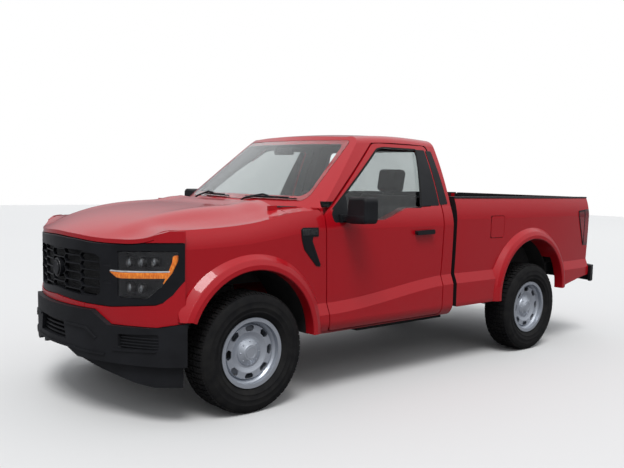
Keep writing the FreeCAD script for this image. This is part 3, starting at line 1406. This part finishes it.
def make_driveline():
    """Gearbox, transfer case, propeller shafts and the front axle's drive, all in one."""
    return [
        bar("bell_housing", "front_axle_x - 400", "0 - gearbox_radius - 30", "gearbox_height - 70", "100",
            "2 * gearbox_radius + 60", "engine_bottom - gearbox_height + 200"),
        tube("gearbox", "x", "front_axle_x - 1060", "0", "gearbox_height", "gearbox_radius", "700"),
        bar("transfer_case", "front_axle_x - 1130", "0 - gearbox_radius - 10", "gearbox_height - 70", "200",
            "2 * gearbox_radius + 20", "160"),
        bar("transfer_drop", "front_axle_x - 1000", "0 - front_diff_y - 40", "gearbox_height - 60", "70",
            "front_diff_y", "100"),
        strut("rear_prop_shaft", ("front_axle_x - 1120", "0", "tyre_radius + 10"),
              ("rear_axle_x + diff_radius + 20", "0", "tyre_radius + 10"), "prop_shaft_radius"),
        strut("front_prop_shaft", ("front_axle_x - 960", "0 - front_diff_y", "gearbox_height + 10"),
              ("front_axle_x - front_diff_radius + 30", "0 - front_diff_y", "tyre_radius + 10"), "26"),
        ball("front_diff_case", "front_axle_x", "0 - front_diff_y", "tyre_radius", "front_diff_radius"),
        tube("front_axle_shaft", "y", "front_axle_x", "96 - kingpin_y", "tyre_radius", "half_shaft_radius",
             "2 * kingpin_y - 192"),
        tube("front_axle_tube", "y", "front_axle_x", "0 - front_diff_y - 150", "tyre_radius", "40", "460"),
        bar("diff_hanger", "front_axle_x - 30", "100", "tyre_radius", "60", "36", "rail_front_bottom - tyre_radius"),
    ]


keep("driveline", union("driveline", make_driveline()))
rack_tube = minus("rack_tube", tube("rack_case", "y", "front_axle_x - tie_rod_setback", "60 - rail_half_spacing",
                                    "tie_rod_height - 8", "28", "2 * rail_half_spacing - 120"),
                  tube("rack_bore", "y", "front_axle_x - tie_rod_setback", "0 - rail_half_spacing",
                       "tie_rod_height - 8", "tie_rod_radius + running_fit", "2 * rail_half_spacing"))
rack_hanger = bar("rack_hanger", "front_axle_x - tie_rod_setback - 15", "rail_half_spacing - rail_width / 2 - 40",
                  "tie_rod_height + 14", "50", "40", "rail_front_bottom - tie_rod_height - 60")
steering_rack = union("steering_rack", [rack_tube, rack_hanger, flipped("rack_hanger_twin", rack_hanger)])
suspension_twin = flipped("front_suspension_twin", suspension_side)
keep("front_suspension", group("front_suspension", [suspension_side, suspension_twin, steering_rack]))


def make_rear_axle():
    face = "rear_wheel_y + disc_offset - 118 - brake_gap"
    half = [
        tube("axle_tube", "y", "rear_axle_x", "0", "tyre_radius", "axle_tube_radius", face),
        tube("axle_flange", "y", "rear_axle_x", face + " - 26", "tyre_radius", "hub_radius - 16", "26"),
        tube("axle_stub", "y", "rear_axle_x", "0", "tyre_radius", "spindle_radius",
             "rear_wheel_y + disc_offset - 28"),
    ]
    side = union("axle_side", half)
    return [side, flipped("axle_side_twin", side), ball("diff_case", "rear_axle_x", "0", "tyre_radius", "diff_radius"),
            tube("pinion_nose", "x", "rear_axle_x + diff_radius - 40", "0", "tyre_radius + 10", "52", "60")]


keep("rear_axle", union("rear_axle", make_rear_axle()))
leaf = side_pad("leaf_pack", [
    ("rear_axle_x + 640", "spring_eye_height"), ("rear_axle_x + 300", "spring_seat_height + 22"),
    ("rear_axle_x + 90", "spring_seat_height"), ("rear_axle_x - 90", "spring_seat_height"),
    ("rear_axle_x - 360", "spring_seat_height + 22"), ("rear_axle_x - 720", "spring_eye_height"),
    ("rear_axle_x - 720", "spring_eye_height + 20"), ("rear_axle_x - 360", "spring_seat_height + 46"),
    ("rear_axle_x - 90", "spring_seat_height + leaf_thickness"),
    ("rear_axle_x + 90", "spring_seat_height + leaf_thickness"), ("rear_axle_x + 300", "spring_seat_height + 46"),
    ("rear_axle_x + 640", "spring_eye_height + 20")], "leaf_y - leaf_width / 2", "leaf_width")
seat_block = bar("spring_seat_block", "rear_axle_x - 60", "leaf_y - leaf_width / 2", "tyre_radius + 20", "120",
                 "leaf_width", "spring_seat_height - tyre_radius - 19")
spring_seat = minus("spring_seat", seat_block, tube("axle_saddle", "y", "rear_axle_x", "0", "tyre_radius",
                                                    "axle_tube_radius", "rear_wheel_y"))
hangers = [bar("spring_hanger_%d" % k, "rear_axle_x " + x, "rail_half_spacing + rail_width / 2", z, "50",
               "leaf_y + leaf_width / 2 - rail_half_spacing - rail_width / 2", height)
           for k, (x, z, height) in enumerate((("+ 610", "spring_eye_height + 2", "70"),
                                                ("- 740", "spring_eye_height + 2", "rail_top - spring_eye_height - 40")))]
shock = strut("shock", ("rear_axle_x - 46", "leaf_y - 6", "tyre_radius + 52"),
              ("rear_axle_x - 331", "rail_half_spacing + 69", "rail_top - 66"), "22")
shock_pin = bar("shock_pin", "rear_axle_x - 350", "rail_half_spacing + rail_width / 2", "rail_top - 90", "40", "60", "50")
pair("rear_suspension", union("rear_suspension_side", [leaf, spring_seat, shock, shock_pin] + hangers))


def pipe(spots, radius):
    """A round pipe along straight runs joined by tangent bends."""
    edges = []
    here = spots[0]
    for before, corner, after in zip(spots, spots[1:], spots[2:]):
        u = (before - corner).normalize()
        w = (after - corner).normalize()
        half = u.getAngle(w) / 2
        reach = min(2.6 * radius / math.tan(half) if half < 1.55 else 1.0, 0.42 * (before - corner).Length,
                    0.42 * (after - corner).Length)
        bend = reach * math.tan(half)
        centre = corner + (u + w).normalize() * (bend / math.sin(half))
        start = corner + u * reach
        end = corner + w * reach
        middle = centre + (corner - centre).normalize() * bend
        edges.append(Part.LineSegment(here, start).toShape())
        edges.append(Part.Arc(start, middle, end).toShape())
        here = end
    edges.append(Part.LineSegment(here, spots[-1]).toShape())
    path = Part.Wire(edges)
    ring = Part.Wire([Part.Circle(spots[0], spots[1] - spots[0], radius).toShape()])
    return path.makePipeShell([ring], True, True)


exhaust_y = -v("rail_half_spacing") + v("rail_width") / 2 + 112
exhaust_z = v("rail_mid_bottom") - 42
exhaust_spots = [
    Vector(FRONT_AXLE - 300, exhaust_y + 38, v("engine_bottom") + 65),
    Vector(FRONT_AXLE - 380, exhaust_y + 38, v("engine_bottom") + 65),
    Vector(FRONT_AXLE - 480, exhaust_y, exhaust_z),
    Vector(CAB_REAR - 60, exhaust_y, exhaust_z),
    Vector(REAR_AXLE + 420, exhaust_y - 30, exhaust_z + 20),
    Vector(REAR_AXLE + 180, exhaust_y - 10, v("rail_arch_height") - 10),
    Vector(REAR_AXLE - 180, exhaust_y - 10, v("rail_arch_height") - 10),
    Vector(REAR_AXLE - 330, exhaust_y - 120, 470),
    Vector(REAR_AXLE - 480, exhaust_y - 330, 430),
    Vector(REAR_AXLE - 640, exhaust_y - 480, 430),
]
silencer = Part.makeCylinder(v("muffler_radius"), 560, Vector(CAB_REAR - 500, exhaust_y + 10, exhaust_z - 8), X_AXIS)
silencer = silencer.makeFillet(26, silencer.Edges[0:1] + silencer.Edges[2:3])
exhaust_form = fused([pipe(exhaust_spots, v("exhaust_radius")), silencer])
piece("exhaust", exhaust_form)
keep("fuel_tank", bar("fuel_tank", "cab_rear_x - 560", "rail_half_spacing - rail_width / 2 - tank_width",
                      "rail_mid_bottom - tank_height + 60", "1080", "tank_width", "tank_height"))

# Load box: two hollow sides, floor with wheelhouses and front wall, lamps, caps and tailgate
def bed_top(x):
    """Height of the box rail."""
    return v("bed_rail_height")


def bed_outline():
    """The box side from the side: its sill climbs behind the wheel."""
    low = v("sill_height") + 60
    high = v("bed_rail_height") + 60
    return [(BED_FRONT, low), (BED_FRONT, high), (BED_REAR, high), (BED_REAR, low + v("bed_rear_rise") - 48),
            (BED_REAR + 150, low + v("bed_rear_rise") - 62), (REAR_AXLE - 300, low), (REAR_AXLE, low)]


FLOOR = v("bed_floor_height")
WALL_Y = HALF - v("belt_inset") - v("bed_wall")
GATE_HALF = v("tailgate_half")
JAMB_Y = GATE_HALF + v("tailgate_gap")
GATE_X = BED_REAR + v("tailgate_thickness")
PIVOT = Vector(BED_REAR + v("tailgate_thickness") / 2, 0, v("tailgate_bottom") + v("tailgate_pivot_rise"))


def side_form():
    """The box side's whole thickness, with the jamb beside the tailgate."""
    slab = side_slab(BED_STATIONS, bed_top, 0, WALL_Y)
    jamb = block(BED_REAR, BED_REAR + 90, JAMB_Y, WALL_Y + 30, v("sill_height") + v("bed_rear_rise") + 20,
                 v("bed_rail_height"))
    edge = outline_prism(bed_outline(), 20, "y", 0, 1200)
    return fused([slab, jamb]).common(edge), edge


def lamp_room(gap):
    """The tail lamp's place at the rear corner."""
    return block(BED_REAR - 10, BED_REAR + 88, JAMB_Y + 12 - gap, 1200, 930 - gap, 1294 + gap)


def fuel_outline(grow, grow_ahead):
    """The fuel door's rounded square."""
    half = v("fuel_door_size") / 2 + grow
    x = BED_FRONT - v("fuel_door_ahead")
    z = v("fuel_door_height")
    ahead = v("fuel_door_size") / 2 + grow_ahead
    front_radius = 22 + grow - 3 * (grow_ahead - grow)
    return outline_prism([(x - half, z - half), (x + ahead, z - half), (x + ahead, z + half), (x - half, z + half)],
                         [22 + grow, front_radius, front_radius, 22 + grow], "y", 0, 1200)


def make_bed_side():
    form, edge = side_form()
    hollow = skin_slab(BED_STATIONS, bed_top, v("fender_wall"), 300).common(
        block(BED_REAR + 100, BED_FRONT - 12, 0, 1200, 0, FLOOR - v("bed_floor_thickness")))
    ring = flare(REAR_AXLE, v("rear_arch_height"), v("rear_arch_radius"), v("sill_height") + 30, HALF).common(edge)
    side = fused([form.cut(hollow), ring])
    arch = Part.makeCylinder(v("rear_arch_radius"), 1200, Vector(REAR_AXLE, 0, v("rear_arch_height")), Y_AXIS)
    below = block(REAR_AXLE - v("rear_arch_radius") * 0.985, REAR_AXLE + v("rear_arch_radius") * 0.985, 0, 1200,
                  0, v("rear_arch_height"))
    side = side.cut(arch).cut(below).cut(lamp_room(1))
    pin = rod(Vector(PIVOT.x, JAMB_Y + 20, PIVOT.z), Vector(PIVOT.x, GATE_HALF - 24, PIVOT.z),
              v("hanging_pin_radius"))
    return fused([side, pin])


bed_side = make_bed_side()
fuel_recess = skin_slab(BED_STATIONS, bed_top, -30, 60).common(fuel_outline(5, 9.6))
fuel_panel = skin_slab(BED_STATIONS, bed_top, 0, 3).common(fuel_outline(0, 0))
FUEL_HINGE = Vector(BED_FRONT - v("fuel_door_ahead") + v("fuel_door_size") / 2 - 3, HALF - v("waist_inset") - 7,
                    v("fuel_door_height"))


def at_fuel_hinge(x0, x1, y0, y1, z0, z1):
    """A box between corners measured from the fuel door's hinge."""
    at = FUEL_HINGE
    return block(at.x + x0, at.x + x1, at.y + y0, at.y + y1, at.z + z0, at.z + z1)


fuel_eye = skin_slab(BED_STATIONS, bed_top, 0, 12).common(at_fuel_hinge(-12, 3, -60, 60, -25, 25))
fuel_pin_room = rod(FUEL_HINGE - Z_AXIS * 26, FUEL_HINGE + Z_AXIS * 26, 2 + v("running_fit"))
fuel_door = fused([fuel_panel, fuel_eye]).cut(fuel_pin_room)
fuel_posts = [at_fuel_hinge(-2.5, 2.5, -60, 0, low, low + 8) for low in (28, -36)]
fuel_posts += [rod(FUEL_HINGE + Z_AXIS * low, FUEL_HINGE + Z_AXIS * (low + 8), 2.5) for low in (28, -36)]
fuel_pin = rod(FUEL_HINGE - Z_AXIS * 36, FUEL_HINGE + Z_AXIS * 36, 2)
bed_side_left = fused([bed_side.cut(fuel_recess), fuel_pin] + fuel_posts)
piece("bed_side_left", bed_side_left)
piece("bed_side_right", mirrored(bed_side))
piece("fuel_door", fuel_door)
lamp_form, lamp_edge = side_form()
tail_lamp = lamp_form.common(lamp_room(0)).cut(block(BED_REAR + 4, 3000, 0, WALL_Y + 14, 0, 2000))
piece("tail_lamps", Part.makeCompound([tail_lamp, mirrored(tail_lamp)]))
cap_outer = side_slab(BED_STATIONS, lambda x: v("bed_rail_height") + 12, -1, WALL_Y - 1)
rail_cap = cap_outer.common(block(BED_REAR, BED_FRONT, 0, 1200, v("bed_rail_height"), v("bed_rail_height") + 30))
piece("bed_rail_caps", Part.makeCompound([rail_cap, mirrored(rail_cap)]))


def make_bed_floor():
    """Floor, wheelhouses, front wall and the sills below."""
    half = WALL_Y
    rear = PIVOT.x + math.hypot(v("tailgate_thickness") / 2, v("tailgate_pivot_rise")) + v("tailgate_gap")
    thick = v("bed_floor_thickness")
    plate = block(rear, BED_FRONT, -half, half, FLOOR - thick, FLOOR)
    front = block(BED_FRONT - 40, BED_FRONT, -half, half, FLOOR - 1, v("bed_rail_height"))
    sills = [block(x - 45, x + 45, -half + 60, half - 60, v("rail_top"), FLOOR - thick + 1)
             for x in (BED_FRONT - 120, REAR_AXLE + 620, REAR_AXLE - 620)]
    tail_sill = block(BED_REAR + 6, BED_REAR + 150, -half + 20, half - 20, v("rail_top"), v("tailgate_bottom") - 24)
    tail_post = block(rear, rear + 60, -half + 20, half - 20, v("tailgate_bottom") - 30, FLOOR - thick + 1)
    ribs = [block(rear, BED_FRONT - 40, y - 22, y + 22, FLOOR - 1, FLOOR + 12) for y in range(-560, 561, 112)]
    whole = [plate, front, tail_sill, tail_post] + sills + ribs
    radius = v("rear_arch_radius")
    reach = v("side_half_width") - v("fender_wall") - 2
    tub = Part.makeCylinder(radius + 12, reach - v("wheelhouse_half"),
                            Vector(REAR_AXLE, v("wheelhouse_half"), v("rear_arch_height")), Y_AXIS)
    tub = tub.common(block(REAR_AXLE - 700, REAR_AXLE + 700, 0, half, v("rear_arch_height") - 30, 1400))
    room = Part.makeCylinder(radius, reach, Vector(REAR_AXLE, v("wheelhouse_half") + 12, v("rear_arch_height")), Y_AXIS)
    tyre_room = block(REAR_AXLE - radius, REAR_AXLE + radius, v("wheelhouse_half") + 12, 1200, 0,
                      v("rear_arch_height"))
    jamb = block(BED_REAR - 1, BED_REAR + 90, JAMB_Y, 1000, 0, 2000)
    floor = fused(whole).cut(room).cut(mirrored(room)).cut(jamb).cut(mirrored(jamb))
    tub = tub.cut(room).cut(tyre_room)
    return floor.fuse([tub, mirrored(tub)])


piece("bed_floor", make_bed_floor())


def make_tailgate():
    low = v("tailgate_bottom")
    high = v("bed_rail_height") + 10
    thick = v("tailgate_thickness")
    gate = outline_prism([(-GATE_HALF, low), (GATE_HALF, low), (GATE_HALF, high), (-GATE_HALF, high)], 12, "x",
                         BED_REAR - 3, BED_REAR - 3 + thick)
    dish = outline_prism([(-GATE_HALF + 90, low + 130), (GATE_HALF - 90, low + 130), (GATE_HALF - 90, high - 150),
                          (-GATE_HALF + 90, high - 150)], 30, "x", BED_REAR - 20, BED_REAR + 5)
    pocket = outline_prism([(-120, high - 118), (120, high - 118), (120, high - 56), (-120, high - 56)], 12, "x",
                           BED_REAR - 20, BED_REAR + 16)
    gate = gate.cut(dish).cut(pocket)
    hole = rod(Vector(PIVOT.x, -GATE_HALF - 60, PIVOT.z), Vector(PIVOT.x, GATE_HALF + 60, PIVOT.z),
               v("hanging_pin_radius") + v("running_fit"))
    ends = block(-3000, 3000, -GATE_HALF + 30, GATE_HALF - 30, 0, 2000)
    return gate.cut(hole.cut(ends))


piece("tailgate", make_tailgate())


def make_rear_bumper():
    """A step bumper on irons from the rails, with a ball plate in its middle."""
    low = v("rear_bumper_bottom")
    high = v("rear_bumper_top")
    half = v("rear_bumper_half")
    front = TRUCK_REAR + v("rear_bumper_depth")
    plan = [(TRUCK_REAR, -half + 150), (TRUCK_REAR, half - 150), (TRUCK_REAR + 60, half - 22), (front - 4, half),
            (front - 4, half - 26), (TRUCK_REAR + 90, half - 60), (TRUCK_REAR + 60, half - 190),
            (TRUCK_REAR + 60, 190 - half), (TRUCK_REAR + 90, 60 - half), (front - 4, 26 - half), (front - 4, -half),
            (TRUCK_REAR + 60, 22 - half)]
    face = outline_prism(plan, [30, 30, 30, 0, 0, 20, 30, 30, 20, 0, 0, 30], "z", low, high)
    deck = block(TRUCK_REAR + 30, front, -half + 130, half - 130, high - 26, high)
    dip = outline_prism([(-250, low + 50), (250, low + 50), (300, high + 20), (-300, high + 20)], 20, "x",
                        TRUCK_REAR - 10, TRUCK_REAR + 200)
    plate = block(TRUCK_REAR + 6, front, -280, 280, low + 50 - v("ball_plate"), low + 50)
    riser = block(front - 12, front, -300, 300, low + 40, high)
    irons = [block(TRUCK_REAR + 55, REAR_AXLE - 1050, y - 6, y + 6, v("rail_top") - 165, v("rail_top") - 60)
             for y in (-v("rail_half_spacing"), v("rail_half_spacing"))]
    body = fused([face, deck]).cut(dip)
    body = fused([body, plate, riser] + irons)
    hole = rod(Vector(TRUCK_REAR + 95, 0, 0), Vector(TRUCK_REAR + 95, 0, 1000), v("ball_hole_radius"))
    return body.cut(hole)


piece("bumper_rear", make_rear_bumper())

# Spare wheel below the box, held up by the winch's plate
spare_parts = [make_tyre("spare_tyre"), make_rim("spare_rim", False)]
for made in spare_parts:
    made.Placement = FreeCAD.Placement(ORIGIN, FreeCAD.Rotation(X_AXIS, -90))
    settle(made, SPARE_X, "0", SPARE_Z)
keep("spare_wheel", group("spare_wheel", spare_parts))


# Liners over the front wheels and the panels beside the engine
APRON_Y = 515


def make_liner():
    radius = v("front_arch_radius") + 14
    inner = APRON_Y + 6
    centre = Vector(FRONT_AXLE, inner, v("front_arch_height"))
    reach = HALF - v("flare_root") - inner
    ring = Part.makeCylinder(radius + 8, reach, centre, Y_AXIS).cut(Part.makeCylinder(radius, reach, centre, Y_AXIS))
    keep_in = skin_slab(FENDER_STATIONS, fender_top, v("fender_wall") + 0.3, 600)
    low = block(DOOR_FRONT - 100, 3000, 0, 1200, v("front_arch_height") - 10, 1200)
    form = ring.common(low).common(keep_in)
    behind = block(DOOR_FRONT - 100, DOOR_FRONT + v("shut_gap") + 100, 0, 1200, 0, 1300)
    return form.cut(behind)


liner = make_liner()
piece("wheel_liners", Part.makeCompound([liner, mirrored(liner)]))


def nose_shelf(ahead, spread, back, z, thick):
    """A flat shelf from a plane across the truck out to the nose line."""
    inner = nose_curve(ahead, spread)
    right = inner.valueAt(inner.FirstParameter)
    left = inner.valueAt(inner.LastParameter)
    tail = 2000
    lines = [Part.LineSegment(a, b).toShape() for a, b in (
        (left, Vector(tail, left.y, 0)), (Vector(tail, left.y, 0), Vector(tail, right.y, 0)),
        (Vector(tail, right.y, 0), right))]
    shelf = Part.Face(Part.Wire([inner] + lines))
    shelf.translate(Vector(0, 0, z))
    return shelf.extrude(Vector(0, 0, thick)).common(block(back, 3000, -1200, 1200, 0, 2000))


def make_engine_bay():
    """Aprons, the radiator panel, its shelves behind the grille and the radiator."""
    front = FRONT_AXLE + 590
    rail = v("rail_half_spacing")
    depth = v("grille_depth")
    aprons = [block(FIREWALL + 0.3, front, side * APRON_Y - 6, side * APRON_Y + 6, v("tyre_radius") + 390, 1150)
              for side in (1, -1)]
    opening = block(front - 5, front + 60, -370, 370, 670, 1030)
    half = v("lamp_inner_y") + 45
    panel_form = block(front, front + 26, -half, half, 600, v("lamp_top") + 16).cut(opening)
    feet = [block(front, front + 26, side * rail - 35, side * rail + 35, v("rail_front_bottom") + 140, 700)
            for side in (1, -1)]
    panel_form = panel_form.cut(block(front - 5, front + 60, -780, 780, 0, v("rail_front_bottom") + 140))
    radiator = block(front - 60, front, -390, 390, 650, 1050)
    shelves = [
        nose_shelf(6 - depth, -depth * 0.55, front, v("lamp_top") + 8, 6),
        nose_shelf(6 - depth, -depth * 0.55, front, v("grille_bottom") + 6, 12),
        nose_shelf(-26, -16, front, v("bumper_top") + 6, 12),
    ]
    lamp_back = nose_band(-96, -4 - 96 * 0.55, 12, v("grille_bottom") + 10, v("lamp_top") + 14)
    lamp_back = lamp_back.common(block(front + 1, 3000, v("lamp_inner_y") - 20, 1200, 0, 2000))
    return fused(aprons + [panel_form, radiator, lamp_back, mirrored(lamp_back)] + shelves + feet)


piece("engine_bay", make_engine_bay())


# Cabin: dashboard with column, bench seat, steering wheel
def wheel_axis():
    tilt = math.radians(v("steering_wheel_tilt"))
    return Vector(-math.cos(tilt), 0, math.sin(tilt))


HUB_AT = Vector(FRONT_AXLE - v("steering_wheel_setback"), v("steering_wheel_y"), v("steering_wheel_height"))


def make_dashboard():
    face = FIREWALL - 40.3
    outline = [(face, 640), (face, 1270), (face - 120, 1285), (face - 330, 1240), (face - 370, 1180), (face - 330, 980),
               (face - 250, 880), (face - 150, 700)]
    form = outline_prism(outline, 30, "y", -v("dash_width") / 2, v("dash_width") / 2)
    axis = wheel_axis()
    column = rod(HUB_AT - axis * 360, HUB_AT - axis * 34, 46)
    shaft = rod(HUB_AT - axis * 60, HUB_AT + axis * 14, 14)
    return fused([form, column, shaft])


def make_steering_wheel():
    axis = wheel_axis()
    radius = v("steering_wheel_radius") - v("steering_rim_radius")
    ring = Part.makeTorus(radius, v("steering_rim_radius"))
    boss = Part.makeCylinder(62, 44, Vector(0, 0, -24))
    boss = boss.makeFillet(12, boss.Edges[0:1] + boss.Edges[2:3])
    spokes = [block(20, radius, -16, 16, -8, 6)]
    for turn in (180, 270):
        other = spokes[0].copy()
        other.rotate(ORIGIN, Z_AXIS, turn)
        spokes.append(other)
    whole = fused([ring, boss] + spokes)
    whole = whole.cut(Part.makeCylinder(14 + v("running_fit"), 40, Vector(0, 0, -25)))
    whole.rotate(ORIGIN, Z_AXIS, 90)
    whole.Placement = FreeCAD.Placement(HUB_AT, FreeCAD.Rotation(Z_AXIS, axis)).multiply(whole.Placement)
    return whole


piece("dashboard", make_dashboard())
piece("steering_wheel", make_steering_wheel())


def make_seat():
    floor = v("cab_floor_height")
    top = v("seat_cushion_height")
    half = v("seat_width") / 2
    base = block(-60, 400, -half + 60, half - 60, floor, floor + 140)
    cushion = outline_prism([(-40, top - 190), (500, top - 150), (520, top), (440, top + 10), (-40, top - 40)],
                            [30, 40, 40, 60, 20], "y", -half, half)
    back = outline_prism([(-50, top - 150), (80, top - 150), (40, top + 200), (-40, 1420), (-130, 1420), (-150, 1000)],
                         [20, 20, 200, 40, 40, 100], "y", -half, half)
    rests = [outline_prism([(-140, 1440), (-40, 1440), (-50, 1630), (-130, 1630)], 30, "y", y - 135, y + 135)
             for y in (-v("steering_wheel_y"), v("steering_wheel_y"))]
    posts = [rod(Vector(-90, y + d, 1400), Vector(-90, y + d, 1460), 7) for y in
             (-v("steering_wheel_y"), v("steering_wheel_y")) for d in (-60, 60)]
    return fused([base, cushion, back] + rests + posts)


piece("seat", make_seat())


# Cowl: the black panel between hood and windscreen, with its two wipers
def make_cowl():
    low = v("hood_rear_height") - 74
    high = v("hood_rear_height") - 32
    plate = block(FIREWALL - 30, v("hood_rear_x") - v("hood_gap"), -752, 752, low, high)
    plate = plate.cut(screen_sheet(4).extrude(Vector(-2500, 0, 0)))
    plate = plate.cut(block(0, v("screen_base_x") - 60, -1200, 1200, low - 1, high + 1).cut(
        screen_sheet(-2).extrude(Vector(2500, 0, 0))))
    return plate


cowl = make_cowl()
piece("cowl", cowl.cut(cab))


# Door fittings: mirror and handle outside, hinge eyes inside the front edge
def make_door_fittings():
    foot = block(HINGE_X - 108, HINGE_X - 8, 0, 1200, 1238, 1296).common(door_slab(SIDE_STATIONS, -20, -0.0))
    arm = outline_prism([(HINGE_X - 96, HALF - 40), (HINGE_X - 20, HALF - 40), (HINGE_X - 30, HALF + 70),
                         (HINGE_X - 100, HALF + 70)], 8, "z", 1250, 1284)
    skin_room = door_slab(SIDE_STATIONS, 0, 400)
    head = outline_prism([(HALF + 34, 1232), (v("mirror_reach"), 1240), (v("mirror_reach"), 1425), (HALF + 44, 1418)],
                         36, "x", HINGE_X - 132, HINGE_X - 12)
    head = head.makeFillet(20, [e for e in head.Edges if abs(e.BoundBox.XMin - HINGE_X + 12) < 1
                                and abs(e.BoundBox.XMax - HINGE_X + 12) < 1])
    glass_room = outline_prism([(HALF + 48, 1250), (v("mirror_reach") - 14, 1256), (v("mirror_reach") - 14, 1410),
                                (HALF + 56, 1404)], 26, "x", HINGE_X - 140, HINGE_X - 124)
    mirror = fused([foot, arm, head.cut(glass_room)]).cut(skin_room)
    grip_x = DOOR_REAR + 122
    grip = door_slab(SIDE_STATIONS, -34, -14).common(outline_prism(
        [(grip_x, 1128), (grip_x + 205, 1124), (grip_x + 210, 1158), (grip_x + 4, 1164)], 12, "y", 0, 1200))
    feet = door_slab(SIDE_STATIONS, -20, 0).common(fused([block(grip_x + 4, grip_x + 40, 0, 1200, 1132, 1158)]))
    feet2 = door_slab(SIDE_STATIONS, -20, 0).common(fused([block(grip_x + 168, grip_x + 204, 0, 1200, 1132, 1158)]))
    handle = fused([grip, feet, feet2])
    return [mirror, handle]


fittings = make_door_fittings()
piece("door_fittings_left", Part.makeCompound(fittings))
piece("door_fittings_right", Part.makeCompound([mirrored(made) for made in fittings]))

doc.recompute()
os.makedirs("parts", exist_ok=True)
for old in os.listdir("parts"):
    os.remove(os.path.join("parts", old))
for made in PIECES:
    shape = made.Shape
    if shape.isNull() or not shape.isValid() or "Invalid" in made.State or "Error" in made.State:
        raise SystemExit("sub-part %s is not sound" % made.Label)
    shape.exportStep("parts/%s.step" % made.Label)
    print(made.Label, len(shape.Solids), round(shape.Volume / 1e6, 2))
